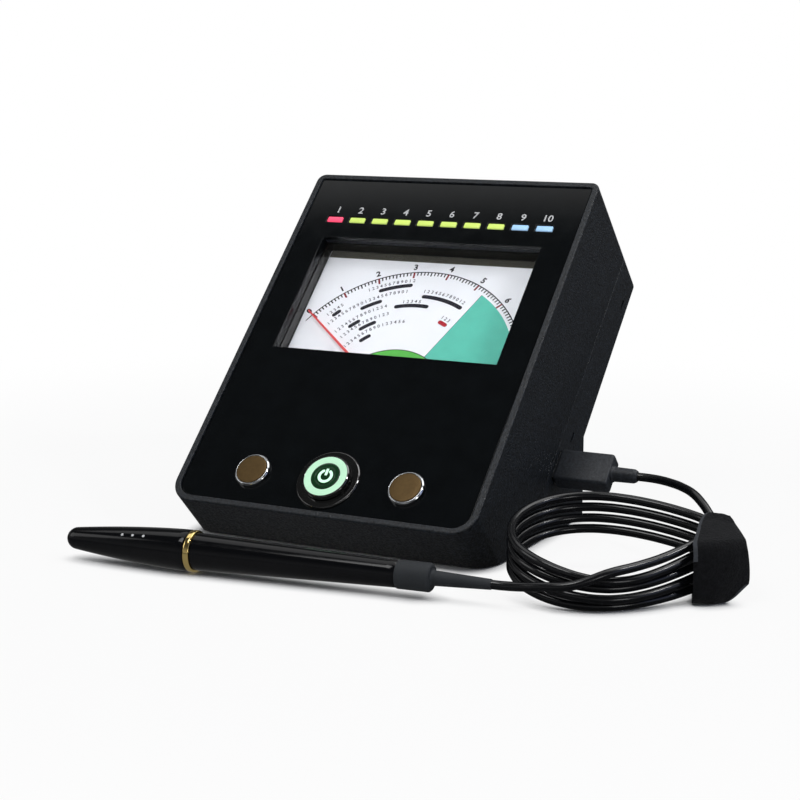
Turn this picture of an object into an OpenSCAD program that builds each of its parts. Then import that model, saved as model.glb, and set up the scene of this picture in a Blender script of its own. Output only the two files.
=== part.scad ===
// Counter-top gem tester: a leaning case with a moving-coil meter, ten lamps and
// three push buttons, and a corded probe that plugs into the side of the case.
// Millimetres. Origin on the table under the middle of the base, +X right,
// -Y towards the user, +Z up.

/* [Case] */
// Width of the case
case_width = 138; // [130:1:160]
// Length of the leaning front face
case_height = 179.5; // [176:0.5:200]
// Depth of the case square to the front face
case_depth = 67; // [62:0.5:80]
// Angle of the front face above the table
face_angle = 44.4; // [42:0.2:48]
// Height of the lower front edge above the table
front_edge_height = 18; // [12:0.2:22]
// Distance from the origin to the front edge of the base
base_front = 47; // [40:0.2:60]
// Distance from the origin to the upright rear wall
base_rear = 50; // [44:0.5:60]
// Wall of the front shell and the rear cover
case_wall = 2.8; // [2:0.1:3.2]
// Radius of the lower corners of the front face
lower_corner = 10; // [6:0.5:14]
// Radius of the upper corners of the front face
upper_corner = 4; // [3.5:0.5:10]
// Depth of the parting line behind the front face
seam_depth = 46.8; // [46:0.2:48]
// Open line between the two shells
seam_gap = 0.3; // [0.1:0.1:0.6]
// Length of the lip that centres the rear cover
lip_length = 3; // [1.5:0.5:4]
// Thickness of the lip
lip_wall = 1.2; // [0.8:0.1:1.6]
// Clearance between the lip and the front shell
lip_clearance = 0.2; // [0.1:0.05:0.4]
// Thickness of the rubber base pads
pad_thickness = 1.4; // [1:0.1:2]
// How far the pads stand below the base
pad_proud = 0.6; // [0.3:0.1:0.9]
// Gap from the pads to the edges of the base halves
pad_margin = 5; // [3:0.5:8]

/* [Front panel] */
// Width of the raised rim round the panel
rim_width = 2.8; // [2:0.1:4]
// Depth of the panel below the rim
panel_recess = 0.8; // [0.3:0.1:1.5]
// Thickness of the gloss panel
panel_thickness = 2; // [1.5:0.1:3]
// Clearance between the panel and the rim
panel_clearance = 0.3; // [0.1:0.05:0.5]
// Thickness of the shell wall behind the panel
backing_wall = 2; // [1.5:0.1:2.5]
// Width of the meter window
window_width = 105; // [95:1:106]
// Height of the meter window
window_height = 62; // [55:0.5:63]
// How far the window group sits below the middle of its space above the buttons
window_drop = 0.95; // [-6:0.05:6]
// Thickness of the clear window pane
pane_thickness = 1.5; // [1:0.1:2]
// Overlap of the pane behind the window edge
pane_overlap = 2; // [1:0.25:2.5]

/* [Meter] */
// Wall of the meter case beside the window
meter_wall = 2.9; // [2:0.1:3]
// Depth of the meter case
meter_depth = 33; // [33:0.5:36]
// Length of the meter case below the window
meter_tail = 35; // [34:0.5:37]
// Space between the pane and the dial
dial_space = 4.7; // [4.5:0.1:6]
// Thickness of the dial plate
dial_thickness = 0.8; // [0.5:0.1:1.2]
// Length of the dial below the window
dial_tail = 5; // [4:0.5:6]
// Clearance round the dial plate
dial_clearance = 0.4; // [0.2:0.1:0.8]
// Sideways place of the needle pivot
pivot_x = 1; // [-2:0.5:2]
// Distance of the needle pivot below the window
pivot_drop = 12; // [11:0.25:12.5]
// Length of the needle from its pivot
needle_length = 62.5; // [55:0.5:63]
// Width of the needle at its tip
needle_tip_width = 0.7; // [0.5:0.1:1]
// Width of the needle at its hub
needle_root_width = 1.4; // [1:0.1:2]
// Thickness of the needle
needle_thickness = 0.6; // [0.4:0.1:0.8]
// Needle's angle left of straight up when it rests on zero
needle_rest = 52.7; // [45:0.1:54]
// Radius of the two spindle stubs
spindle_radius = 0.6; // [0.5:0.05:0.8]
// Running clearance of the spindle in its bridges
spindle_clearance = 0.05; // [0.02:0.01:0.1]
// Radius of the iron core
core_radius = 6.4; // [6:0.1:6.6]
// Length of the core, the magnets and the yoke
core_length = 12; // [11:0.25:12.5]
// Outer radius of the yoke ring
yoke_radius = 19; // [18.5:0.1:20]
// Wall of the yoke ring
yoke_wall = 3; // [2.5:0.1:3.2]

/* [Lamps] */
// Number of lamps in the row
led_count = 10; // [6:1:10]
// Spacing of the lamps
led_pitch = 11.3; // [10.5:0.1:11.5]
// Distance from the window up to the lamp row
led_gap = 10.4; // [9:0.1:13]
// Width of a lamp
led_width = 7.5; // [6:0.1:8]
// Height of a lamp
led_height = 2.8; // [2:0.1:3.2]
// Clearance round a lamp in its slot
led_clearance = 0.3; // [0.2:0.05:0.5]
// Space between the backing wall and the lamp board
led_standoff = 3.6; // [3:0.1:5]
// Thickness of the circuit boards
board_thickness = 1.6; // [1:0.1:2]

/* [Buttons] */
// Distance of the side buttons from the middle
button_x = 35.2; // [33:0.1:40]
// Height up the face of the three buttons
button_s = 17.5; // [17.2:0.1:19]
// Outer radius of a side button's rim
button_radius = 7.6; // [7.5:0.1:9]
// Width of a side button's rim
button_rim = 0.95; // [0.7:0.05:1.1]
// Height of a side button's rim above the panel
button_proud = 2; // [1.9:0.1:3]
// Travel of a side button
button_travel = 0.6; // [0.3:0.1:0.7]
// Thickness of the seat under a side button's disc
button_seat = 0.4; // [0.3:0.05:0.5]
// Thickness of a side button's disc
button_disc = 1; // [0.8:0.1:1.2]
// Radius of the threaded neck of a side button
button_neck = 6; // [5.5:0.1:6.3]
// Length of the side button's neck behind the panel
button_neck_length = 14.2; // [13:0.2:16]
// Radius of the power button's flange
power_flange = 13.6; // [13.2:0.1:14]
// Thickness of the power button's flange
power_flange_height = 1; // [0.6:0.1:1.6]
// Radius of the power button's moving cap
power_radius = 9.92; // [9.7:0.01:10.1]
// Height of the power cap above its flange when it is pressed
power_pressed = 0.5; // [0.3:0.1:2]
// Travel of the power button
power_travel = 2; // [1:0.1:2.2]
// Outer radius of the lit ring
halo_outer = 9.2; // [8.8:0.1:9.4]
// Inner radius of the lit ring
halo_inner = 6.3; // [5.5:0.1:7]
// Depth of the lit ring in the cap
halo_depth = 1; // [0.6:0.1:1.2]
// Length of the power button's neck behind the panel
power_neck_length = 11.2; // [10.5:0.1:13]
// Running clearance of the caps in their bores
cap_clearance = 0.08; // [0.04:0.01:0.1]

/* [Plug and socket] */
// Height up the face of the socket's middle
usb_s = 67.7; // [66.5:0.1:69]
// Depth of the socket's middle behind the front face
usb_depth = 53; // [52.8:0.1:53.4]
// Width of the plug's moulded grip
plug_width = 15.2; // [14:0.1:17]
// Thickness of the plug's moulded grip
plug_thickness = 8; // [7:0.1:9]
// Length of the plug's moulded grip
plug_length = 24; // [20:0.5:24]
// Length of the round strain relief behind the grip
relief_length = 10.7; // [8:0.1:14]
// Radius of the round strain relief
relief_radius = 2.6; // [2.3:0.1:3.5]
// Width of the plug's metal shell
shell_width = 12; // [11.5:0.1:12.2]
// Thickness of the plug's metal shell
shell_thickness = 4.5; // [4:0.1:4.7]
// Length of the plug's metal shell
shell_length = 11.8; // [10:0.1:12]
// Clearance between the shell and the socket
shell_clearance = 0.15; // [0.1:0.05:0.25]

/* [Cord] */
// Diameter of the cord
cord_diameter = 3.5; // [3:0.1:3.5]
// Number of loops in the coil
coil_loops = 4; // [2:1:4]
// Half length of a loop
coil_half_length = 38; // [34:0.5:40]
// Half width of a loop
coil_half_width = 30.5; // [26:0.5:32]
// Rise from the front of the coil to its back
coil_rise = 14.5; // [10:0.5:18]
// Distance from one loop to the next
coil_step = 4.3; // [4.25:0.05:4.5]
// Lean of the loops' stack at the front of the coil
coil_lean = 40; // [0:1:40]
// Length of the strap along the cord
strap_length = 18; // [16:0.5:18.5]
// Thickness of the strap
strap_thickness = 1.6; // [1.2:0.1:1.6]

/* [Probe] */
// Direction of the probe on the table
probe_angle = 5.4; // [0:0.2:10]
// Length of the cap
cap_length = 55; // [53:0.5:60]
// Radius of the cap at its mouth
cap_mouth_radius = 8.15; // [8:0.05:8.15]
// Radius of the cap at its tip
cap_tip_radius = 3.9; // [3.5:0.1:5]
// Wall of the cap
cap_wall = 1.3; // [1:0.05:1.5]
// Length of the trim ring
ring_length = 2.5; // [1.5:0.1:4]
// Radius of the trim ring
ring_radius = 8.2; // [8.2:0.05:8.5]
// Length of the barrel behind the ring
barrel_length = 83.7; // [75:0.1:83.7]
// Radius of the barrel at the ring
barrel_front_radius = 7.3; // [7:0.05:8]
// Radius of the barrel at the collar
barrel_rear_radius = 5.1; // [4.8:0.05:5.4]
// Radius of the neck that the cap slides over
neck_radius = 6.45; // [6.2:0.05:6.5]
// Length of the neck in front of the ring
neck_length = 8; // [6:0.25:9]
// Length of the grey collar
collar_length = 13.5; // [11:0.1:13.5]
// Radius of the grey collar
collar_radius = 5.45; // [5.1:0.05:5.6]
// Length of the tapered sleeve behind the collar
sleeve_length = 23; // [15:0.5:24]
// Radius of the sleeve at the collar
sleeve_radius = 2.9; // [2.4:0.1:3.4]
// Radius of the contact pin
pin_radius = 0.8; // [0.6:0.05:1]
// Running clearance of the contact pin
pin_clearance = 0.06; // [0.03:0.01:0.1]
// Travel of the contact pin
pin_travel = 1.5; // [0.5:0.1:2]

/* [Fasteners] */
// Radius of the screws
screw_radius = 1.5; // [1.2:0.05:1.6]
// Radius of the screw heads
screw_head = 3; // [2.6:0.1:3.1]
// Thickness of the screw heads
screw_head_height = 2; // [1.5:0.1:2.4]
// Clearance of a screw in its hole
screw_clearance = 0.1; // [0.05:0.05:0.2]
// Radius of the bosses that take the screws
boss_radius = 3.2; // [3:0.1:3.4]

/* [Hidden] */

$fn = 64;

// Room that is larger than the whole object, for cutting planes
vast = 400;
// Small overrun that lets a cut pass clean through a face
cut = 1;

// Levels square to the front face, from the rim at 0 towards the back
panel_front = -panel_recess;
panel_back = panel_front - panel_thickness;
backing_back = panel_back - backing_wall;
pane_back = backing_back - pane_thickness;
dial_front = pane_back - dial_space;
dial_back = dial_front - dial_thickness;
meter_back = pane_back - meter_depth;
cover_front = -seam_depth - seam_gap;
cover_inside = -(case_depth - case_wall);

// Where the front face meets the table frame
front_edge_y = -base_front - (front_edge_height - pad_proud) * tan(face_angle);
// Depth that reaches the rear lower edge of the foot
foot_reach = (base_front + base_rear) * sin(face_angle) + case_depth;

// Places of the four cover screws, in from the side and up the face
cover_screw_inset = 9;
cover_screw_rows = [104, case_height - 9.5];
cover_screw_reach = 10;
cover_screw_recess = 4;
cover_boss_radius = 4;

// The meter and the lamps stand between the power button's nut and the top wall
power_nut_flat = 13.6;
led_board_above = 8.6;
space_low = button_s + power_nut_flat / cos(30);
space_high = case_height - case_wall;
group_below = window_height / 2 + meter_tail;
group_above = window_height / 2 + led_gap + led_board_above;
window_middle = (space_low + space_high + group_below - group_above) / 2 - window_drop;
window_bottom = window_middle - window_height / 2;
window_top = window_middle + window_height / 2;
led_s = window_top + led_gap;

// Ears of the meter case
ear_below = 42;
ear_above = 13;
ear_rows = [window_middle - ear_below, window_middle + ear_above];
ear_thickness = 3;
ear_drop = 3.2;
ear_front = backing_back - ear_drop;
ear_back = ear_front - ear_thickness;
meter_half = window_width / 2 + meter_wall;
ear_clearance = 0.9;
ear_x = meter_half + boss_radius + ear_clearance;
meter_top = window_top + meter_wall;
meter_bottom = window_bottom - meter_tail;
dial_bottom = window_bottom - dial_tail;
pivot_s = window_bottom - pivot_drop;
dial_ledge = 1.5;
dial_screw_x = 44;
dial_screw_s = dial_bottom + 2.8;
dial_screw_radius = 1;
dial_screw_head = 1.9;
dial_screw_length = 6;

// Meter movement, from the bridge in front to the bridge behind
bridge_thickness = 1.4;
bridge_gap = 0.2;
bridge_front = pane_back - bridge_gap;
bridge_inset = 0.5;
bridge_half = yoke_radius - bridge_inset;
bridge_width = 5;
bridge_leg = 2;
hub_radius = 2.6;
hub_height = 1.6;
hub_gap = 0.4;
hub_front = bridge_front - bridge_thickness - hub_gap;
needle_sink = 0.1;
needle_front = hub_front - needle_sink;
tail_length = 12;
tail_weight_radius = 1.5;
coil_wire = 1.5;
coil_play = 0.6;
coil_winding = 2;
coil_inner = core_radius + coil_play;
coil_outer = coil_inner + coil_winding;
coil_thickness = 3;
coil_drop = 1;
coil_front = dial_back - coil_drop;
coil_space = 2;
yoke_front = coil_front - coil_wire - coil_space;
yoke_back = yoke_front - core_length;
coil_back = yoke_back - coil_space - coil_wire;
stub_length = 3.2;
rear_bridge_drop = 2.4;
rear_bridge_front = coil_back - rear_bridge_drop;
yoke_inner = yoke_radius - yoke_wall;
magnet_clearance = 0.1;
magnet_outer = yoke_inner - magnet_clearance;
coil_swing = 0.68;
magnet_inner = norm([coil_outer, coil_thickness / 2]) + coil_swing;
core_tab = 4;
tab_play = 0.6;
magnet_gap = core_tab + 2 * tab_play;
floor_thickness = 2;
meter_floor = meter_back + floor_thickness;
spiral_turns = 3;
spiral_steps = 24;
spiral_start = spindle_radius + 0.4;
spiral_growth = 1.2;
spiral_strip = 0.35;
spiral_height = 0.5;

// Lamp board
led_board_front = backing_back - led_standoff;
led_board_margin = 6.2;
led_board_half = led_pitch * (led_count - 1) / 2 + led_board_margin;
led_board_below = 5.2;
led_board_low = led_s - led_board_below;
led_board_high = led_s + led_board_above;
led_screw_inset = 3.5;
led_screw_x = led_board_half - led_screw_inset;
led_screw_rise = 5.6;
led_screw_s = led_s + led_screw_rise;
led_foot = 0.8;
led_foot_margin = 0.8;
led_sink = 0.1;

// Side buttons
button_top = panel_front + button_proud;
button_bore = button_radius - button_rim;
stop_clearance = 0.2;
button_seat_top = panel_front + button_seat;
button_cap_low = button_seat_top + button_travel + stop_clearance;
button_cap_top = button_cap_low + button_disc;
button_stem = 2.5;
button_collar_top = panel_front - 5.5;
button_collar_height = 1.5;
button_collar_radius = 3.6;
button_chamber = button_collar_radius + 0.6;
button_floor = panel_front - button_neck_length;
button_nut = 9;
button_nut_height = 3;
button_switch_height = 7;
pin_length = 3;

// Power button
power_flange_top = panel_front + power_flange_height;
power_top = power_flange_top + power_pressed + power_travel;
power_bore = power_radius + cap_clearance;
power_chamber = power_bore + 1;
power_neck = power_chamber + 1;
power_collar_top = panel_front - 3.5;
power_collar_height = 1.5;
power_floor = panel_front - power_neck_length;
power_hollow = halo_outer - 0.7;
power_roof = power_top - halo_depth - 0.8;
power_nut_height = 3;
power_switch_radius = 9.5;
power_switch_height = 8;
neck_clearance = 0.2;

// Boards and socket
socket_wall = 0.4;
socket_width = shell_width + 2 * (shell_clearance + socket_wall);
socket_thickness = shell_thickness + 2 * (shell_clearance + socket_wall);
socket_length = shell_length + 3.6;
socket_mouth = case_width / 2 - 0.1;
board_front = -usb_depth - socket_thickness / 2;
board_back = board_front - board_thickness;
board_inset = 16;
board_half = case_width / 2 - board_inset;
board_below = 6;
board_above = 55.5;
board_low = usb_s - board_below;
board_high = usb_s + board_above;
board_screw_inset = 5;
board_screw_x = board_half - board_screw_inset;
board_screw_rise = 12;
board_screw_edge = 4;
board_screw_rows = [usb_s + board_screw_rise, board_high - board_screw_edge];
board_screw_length = 6;
board_tongue = socket_width / 2 + 1.5;
plug_gap = 0.3;
plug_inner = case_width / 2 + plug_gap;
relief_end = plug_inner + plug_length + relief_length;

// Vent slots, as height up the face and depth behind it
vent_slots = [[case_height - 18, case_depth - 6.4], [usb_s + 18.1, usb_depth + 3.5]];
vent_length = 5;
vent_width = 1.6;

// Power inlet on the rear wall
jack_inset = 33;
jack_x = jack_inset - case_width / 2;
jack_z = 17.2;
jack_bore = 3.2;
jack_pin = 1;
jack_size = 10;
jack_length = 14;
jack_nose = 4.6;
jack_depth = 9;

// Probe
probe_tip_place = [-88.8, -104];
cap_gap = 0.3;
ring_start = cap_length + cap_gap;
barrel_start = ring_start + ring_length;
collar_start = barrel_start + barrel_length;
sleeve_start = collar_start + collar_length;
sleeve_end_radius = cord_diameter / 2 + 0.25;
probe_length = sleeve_start + sleeve_length;
neck_start = cap_length - neck_length;
cap_bore = neck_radius + 0.07;
nose_tail = 4.1;
nose_front = 14;
nose_tail_end = neck_start + 13;
pin_stub = 3.5;
pin_front = nose_front - pin_stub - pin_travel;
pin_guide = 22.3;
pin_collar_start = nose_front + pin_guide;
pin_collar_height = 1.5;
pin_collar = pin_radius + 1;
pin_chamber = pin_collar + 0.35;
tip_spring_end = nose_tail_end - 2;

// Cord
cord_radius = cord_diameter / 2;
coil_angle = 27.4;
coil_centre = [120, -48];
coil_pinch = 0.5;
coil_rings = 24;
coil_sides = 6;
cord_sides = 8;
coil_first = 315;
coil_lowest = 270 + 360 * coil_loops;
// Free stretch from the probe to the coil, on the table and then up its stack
probe_route = [[99.5, -87, 8.8], [107.5, -87.5, 10], [118.5, -86.5, 11.5], [124.5, -83, 13.5],
    [129.5, -78.5, 15.4], [137.5, -68, 16.8], [144, -57.5, 18.4]];
// Free stretch from the coil round behind the strap to the plug
plug_route = [[154.5, -39, 5.2], [157, -33, 6.3], [157.5, -27, 7.9], [156.5, -21.5, 9.8], [154, -15.5, 12],
    [151, -10, 14.6], [147, -5.5, 17.2], [142.5, -1, 20.3], [137.5, 4, 23.6], [132, 9, 26], [126, 14, 26.9],
    [119.5, 18, 27.3], [113, 20.5, 27.5]];
strap_front = -19;
strap_back = 19;
strap_inner = [[strap_front, 2.9], [strap_back, 7.5], [strap_back, 29.5], [strap_front, 21.5]];
strap_round = 1.2;
strap_start = 23.6;
// Outline of the strap's tail, along the coil and up from the table
strap_tail = [[38, 0.6], [43, 0.6], [49, 2.6], [49.8, 5.6], [49.4, 11], [48, 17], [46.6, 22], [44.5, 23],
    [38, 23]];

// Places on the leaning front face: x, up the face, out of the face
module on_face(x = 0, s = 0, h = 0) {
    translate([0, front_edge_y, front_edge_height])
        rotate([face_angle, 0, 0])
            translate([x, s, h])
                children();
}

// Outline of the case seen square to the front face
module case_outline(inset) {
    width = case_width - 2 * inset;
    low = max(lower_corner - inset, 0.5);
    high = max(upper_corner - inset, 0.5);
    top = case_height - inset;
    translate([-width / 2, inset + low])
        square([width, top - high - inset - low]);
    translate([-width / 2 + low, inset])
        square([width - 2 * low, low + cut]);
    translate([-width / 2 + high, top - high - cut])
        square([width - 2 * high, high + cut]);
    for (side = [-1, 1]) {
        translate([side * (width / 2 - low), inset + low])
            circle(low);
        translate([side * (width / 2 - high), top - high])
            circle(high);
    }
}

module case_slab(inset, front, back) {
    on_face(0, 0, back)
        linear_extrude(front - back)
            case_outline(inset);
}

// The whole case as a solid, drawn in on every side by the inset
module case_solid(inset, front) {
    intersection() {
        translate([-vast / 2, -vast / 2, pad_proud + inset])
            cube(vast);
        union() {
            case_slab(inset, front, -(case_depth - inset));
            intersection() {
                case_slab(inset, front, -foot_reach);
                translate([-vast / 2, base_rear - inset - vast, 0])
                    cube(vast);
            }
        }
    }
}

module at_cover_screws() {
    for (side = [-1, 1], row = cover_screw_rows)
        on_face(side * (case_width / 2 - cover_screw_inset), row)
            children();
}

module at_ears() {
    for (side = [-1, 1], row = ear_rows)
        on_face(side * ear_x, row)
            children();
}

module at_led_screws() {
    for (side = [-1, 0, 1])
        on_face(side * led_screw_x, led_screw_s)
            children();
}

module at_leds(list) {
    for (i = list)
        on_face((i - (led_count - 1) / 2) * led_pitch, led_s)
            children();
}

module at_buttons() {
    for (side = [-1, 1])
        on_face(side * button_x, button_s)
            children();
}

module at_board_screws() {
    for (side = [-1, 1], row = board_screw_rows)
        on_face(side * board_screw_x, row)
            children();
}

// A bar along the axis of the front face between two levels
module bar(radius, low, high) {
    translate([0, 0, low])
        cylinder(r = radius, h = high - low);
}

module block(width, height, low, high) {
    translate([-width / 2, -height / 2, low])
        cube([width, height, high - low]);
}

module screw(head_low, head_high, tip, radius, head) {
    bar(head, min(head_low, head_high), max(head_low, head_high));
    bar(radius, min(head_low, tip), max(head_high, tip));
}

// Openings that both the panel and the wall behind it share
module panel_openings() {
    on_face(0, window_middle)
        block(window_width, window_height, backing_back - cut, cut);
    at_leds([0:led_count - 1])
        block(led_width + 2 * led_clearance, led_height + 2 * led_clearance, backing_back - cut, cut);
    at_buttons()
        bar(button_neck + neck_clearance, backing_back - cut, cut);
    on_face(0, button_s)
        bar(power_neck + neck_clearance, backing_back - cut, cut);
}

// Where the parting line crosses the base
seam_base_s = (seam_depth * cos(face_angle) - front_edge_height + pad_proud) / sin(face_angle);
seam_base_y = front_edge_y + seam_base_s * cos(face_angle) + seam_depth * sin(face_angle);

// One pad on each half of the base
module pads() {
    width = case_width - 2 * (lower_corner + pad_margin);
    for (span = [[-base_front, seam_base_y], [seam_base_y, base_rear]]) {
        low = span[0] + pad_margin;
        high = span[1] - pad_margin;
        translate([-width / 2, low, 0])
            cube([width, high - low, pad_thickness]);
    }
}

module front_shell() color("#1d1f22") {
    difference() {
        union() {
            difference() {
                intersection() {
                    case_solid(0, 0);
                    on_face(0, 0, -seam_depth)
                        translate([-vast / 2, -vast / 2, 0])
                            cube(vast);
                }
                case_solid(case_wall, backing_back);
                case_slab(rim_width, cut, panel_back);
            }
            at_cover_screws()
                bar(cover_boss_radius, -seam_depth, backing_back + cut);
            at_ears()
                bar(boss_radius, ear_front, backing_back + cut);
            at_led_screws()
                bar(boss_radius, led_board_front, backing_back + cut);
        }
        panel_openings();
        at_cover_screws()
            bar(screw_radius + screw_clearance, -seam_depth - cut, -seam_depth + cover_screw_reach + cut);
        at_ears()
            bar(screw_radius + screw_clearance, ear_front - cut, backing_back);
        at_led_screws()
            bar(screw_radius + screw_clearance, led_board_front - cut, backing_back);
        pads();
    }
}

module rear_cover() color("#1a1c1f") {
    lip_inset = case_wall + lip_clearance;
    lip_root = 2;
    difference() {
        union() {
            difference() {
                case_solid(0, cover_front);
                case_solid(case_wall, cover_front + cut);
            }
            // The lip stands inside the front shell, on a thicker root
            difference() {
                intersection() {
                    union() {
                        case_solid(lip_inset, cover_front + lip_length);
                        case_solid(case_wall - 0.1, cover_front);
                    }
                    on_face(0, 0, cover_front - lip_root)
                        translate([-vast / 2, -vast / 2, 0])
                            cube(vast);
                }
                case_solid(lip_inset + lip_wall, cover_front + lip_length + cut);
            }
            at_cover_screws()
                bar(cover_boss_radius, cover_inside - cut, cover_front);
            // Board posts run down to whichever rear wall they meet
            intersection() {
                at_board_screws()
                    bar(boss_radius, -foot_reach, board_back);
                case_solid(case_wall / 2, cover_front);
            }
        }
        at_cover_screws() {
            bar(screw_radius + screw_clearance, -case_depth - cut, cover_front + cut);
            bar(screw_head + 4 * screw_clearance, -case_depth - cut, -case_depth + cover_screw_recess);
        }
        at_board_screws()
            bar(screw_radius + screw_clearance, board_back - board_screw_length, board_back + cut);
        // Socket cut-out in the right side
        on_face(case_width / 2, usb_s, -usb_depth)
            cube([4 * case_wall, socket_width + 4 * shell_clearance, socket_thickness + 4 * shell_clearance],
                center = true);
        // Inlet hole in the rear wall
        translate([jack_x, base_rear + cut, jack_z])
            rotate([90, 0, 0])
                cylinder(r = jack_nose + neck_clearance, h = case_wall + 2 * cut);
        // Two small vent slots in the right side
        for (slot = vent_slots)
            on_face(case_width / 2, slot[0], -slot[1])
                cube([4 * case_wall, vent_length, vent_width], center = true);
        pads();
    }
}

module cover_screws() color("silver")
    at_cover_screws()
        screw(-case_depth + cover_screw_recess - screw_head_height, -case_depth + cover_screw_recess,
            -seam_depth + cover_screw_reach, screw_radius, screw_head);

module base_pads() color("#2b2b2b")
    pads();

module front_panel() color("#08090b")
    difference() {
        case_slab(rim_width + panel_clearance, panel_front, panel_back);
        panel_openings();
    }

module window_pane() color("#dfe8ee", 0.3)
    on_face(0, window_middle)
        block(window_width + 2 * pane_overlap, window_height + 2 * pane_overlap, pane_back, backing_back);

module meter_case() color("#3d3f3a") {
    inner_low = meter_bottom + floor_thickness;
    difference() {
        union() {
            on_face(-meter_half, meter_bottom, meter_back)
                cube([2 * meter_half, meter_top - meter_bottom, pane_back - meter_back]);
            at_ears()
                bar(boss_radius, ear_back, ear_front);
            for (side = [-1, 1], row = ear_rows)
                on_face(side * (meter_half + ear_x) / 2, row)
                    block(ear_x - meter_half + cut, 2 * boss_radius, ear_back, ear_front);
        }
        on_face(-window_width / 2, inner_low, dial_back)
            cube([window_width, window_top - inner_low, pane_back - dial_back + cut]);
        on_face(-window_width / 2 + dial_ledge, inner_low, meter_floor)
            cube([window_width - 2 * dial_ledge, window_top - dial_ledge - inner_low,
                dial_back - meter_floor + cut]);
        at_ears()
            bar(screw_radius + screw_clearance, ear_back - cut, ear_front + cut);
    }
    // Posts under the dial and under the yoke
    for (side = [-1, 1])
        on_face(side * dial_screw_x, dial_screw_s)
            difference() {
                bar(boss_radius, meter_floor - cut, dial_back);
                bar(dial_screw_radius + screw_clearance, dial_back - dial_screw_length, dial_back + cut);
            }
    for (side = [-1, 1])
        on_face(pivot_x, pivot_s + side * (yoke_radius - yoke_wall / 2))
            bar(yoke_wall / 2, meter_floor - cut, yoke_back);
}

module meter_screws() color("silver")
    at_ears()
        screw(ear_back - screw_head_height, ear_back, backing_back - 0.2, screw_radius, screw_head);

module dial_plate() color("#eef2f6")
    difference() {
        on_face(-window_width / 2 + dial_clearance, dial_bottom, dial_back)
            cube([window_width - 2 * dial_clearance, window_top - dial_clearance - dial_bottom,
                dial_thickness]);
        for (side = [-1, 1])
            on_face(side * dial_screw_x, dial_screw_s)
                bar(dial_screw_radius + screw_clearance, dial_back - cut, dial_front + cut);
    }

module dial_screws() color("silver")
    for (side = [-1, 1])
        on_face(side * dial_screw_x, dial_screw_s)
            screw(dial_front + 1, dial_front, dial_back - dial_screw_length + 0.5, dial_screw_radius,
                dial_screw_head);

// The turning parts stand at the needle's zero
module at_pivot(turn = needle_rest) {
    on_face(pivot_x, pivot_s)
        rotate([0, 0, turn])
            children();
}

module needle() color("#d3202a")
    at_pivot()
        difference() {
            union() {
                bar(hub_radius, hub_front - hub_height, hub_front);
                translate([0, 0, needle_front - needle_thickness])
                    linear_extrude(needle_thickness)
                        polygon([[-needle_root_width / 2, -tail_length], [needle_root_width / 2, -tail_length],
                            [needle_root_width / 2, 0], [needle_tip_width / 2, needle_length],
                            [-needle_tip_width / 2, needle_length], [-needle_root_width / 2, 0]]);
                translate([0, tail_weight_radius - tail_length, 0])
                    bar(tail_weight_radius, hub_front - hub_height, hub_front);
            }
            bar(spindle_radius + 0.02, hub_front - hub_height - cut, hub_front + cut);
        }

module spindle() color("#b9bdc2")
    at_pivot() {
        bar(spindle_radius, coil_front, bridge_front - 0.3);
        bar(spindle_radius, coil_back - stub_length, coil_back);
    }

module moving_coil() color("#b8733a")
    at_pivot()
        difference() {
            block(2 * coil_outer, coil_thickness, coil_back, coil_front);
            block(2 * coil_inner, coil_thickness + 2 * cut, coil_back + coil_wire, coil_front - coil_wire);
        }

// Flat spiral: the outer edge out, then the inner edge back
function spiral_point(i, offset) =
    let (a = 360 * i / spiral_steps, r = spiral_start + spiral_growth * i / spiral_steps + offset)
    [r * cos(a), r * sin(a)];

module hairspring() color("#c9a24a") {
    last = spiral_steps * spiral_turns;
    at_pivot(0)
        translate([0, 0, coil_back - 1.4])
            linear_extrude(spiral_height)
                polygon(concat([for (i = [0:last]) spiral_point(i, spiral_strip)],
                    [for (i = [last:-1:0]) spiral_point(i, 0)]));
}

module meter_core() color("#6f7478")
    at_pivot(0) {
        bar(core_radius, yoke_back, yoke_front);
        block(core_tab, 2 * magnet_outer - 0.2, yoke_back + 2, yoke_front - 2);
    }

module meter_magnet() color("#4a4d52")
    at_pivot(0)
        difference() {
            bar(magnet_outer, yoke_back, yoke_front);
            bar(magnet_inner, yoke_back - cut, yoke_front + cut);
            block(magnet_gap, 2 * yoke_radius, yoke_back - cut, yoke_front + cut);
        }

module meter_yoke() color("#8a8f94")
    at_pivot(0)
        difference() {
            bar(yoke_radius, yoke_back, yoke_front);
            bar(yoke_inner, yoke_back - cut, yoke_front + cut);
        }

// A strip on two legs that carries one spindle stub
module bridge(strip_low, strip_high, leg_low, leg_high) {
    at_pivot(0)
        difference() {
            union() {
                block(2 * bridge_half, bridge_width, strip_low, strip_high);
                for (side = [-1, 1])
                    translate([side * (bridge_half - bridge_leg / 2), 0, 0])
                        block(bridge_leg, bridge_width, leg_low, leg_high);
            }
            bar(spindle_radius + spindle_clearance, strip_low - cut, strip_high + cut);
        }
}

module front_bridge() color("#c8a860")
    bridge(bridge_front - bridge_thickness, bridge_front, yoke_front, bridge_front);

module rear_bridge() color("#c8a860")
    bridge(rear_bridge_front - bridge_thickness, rear_bridge_front, rear_bridge_front - bridge_thickness,
        yoke_back);

module lamps(list) {
    at_leds(list) {
        block(led_width, led_height, led_board_front, panel_front - led_sink);
        block(led_width + 2 * led_foot_margin, led_height + 2 * led_foot_margin, led_board_front,
            led_board_front + led_foot);
    }
}

module led_red() color("#e12850")
    lamps([0]);

module led_green() color("#bed73c")
    lamps([1:led_count - 3]);

module led_blue() color("#82bef5")
    lamps([led_count - 2:led_count - 1]);

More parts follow.
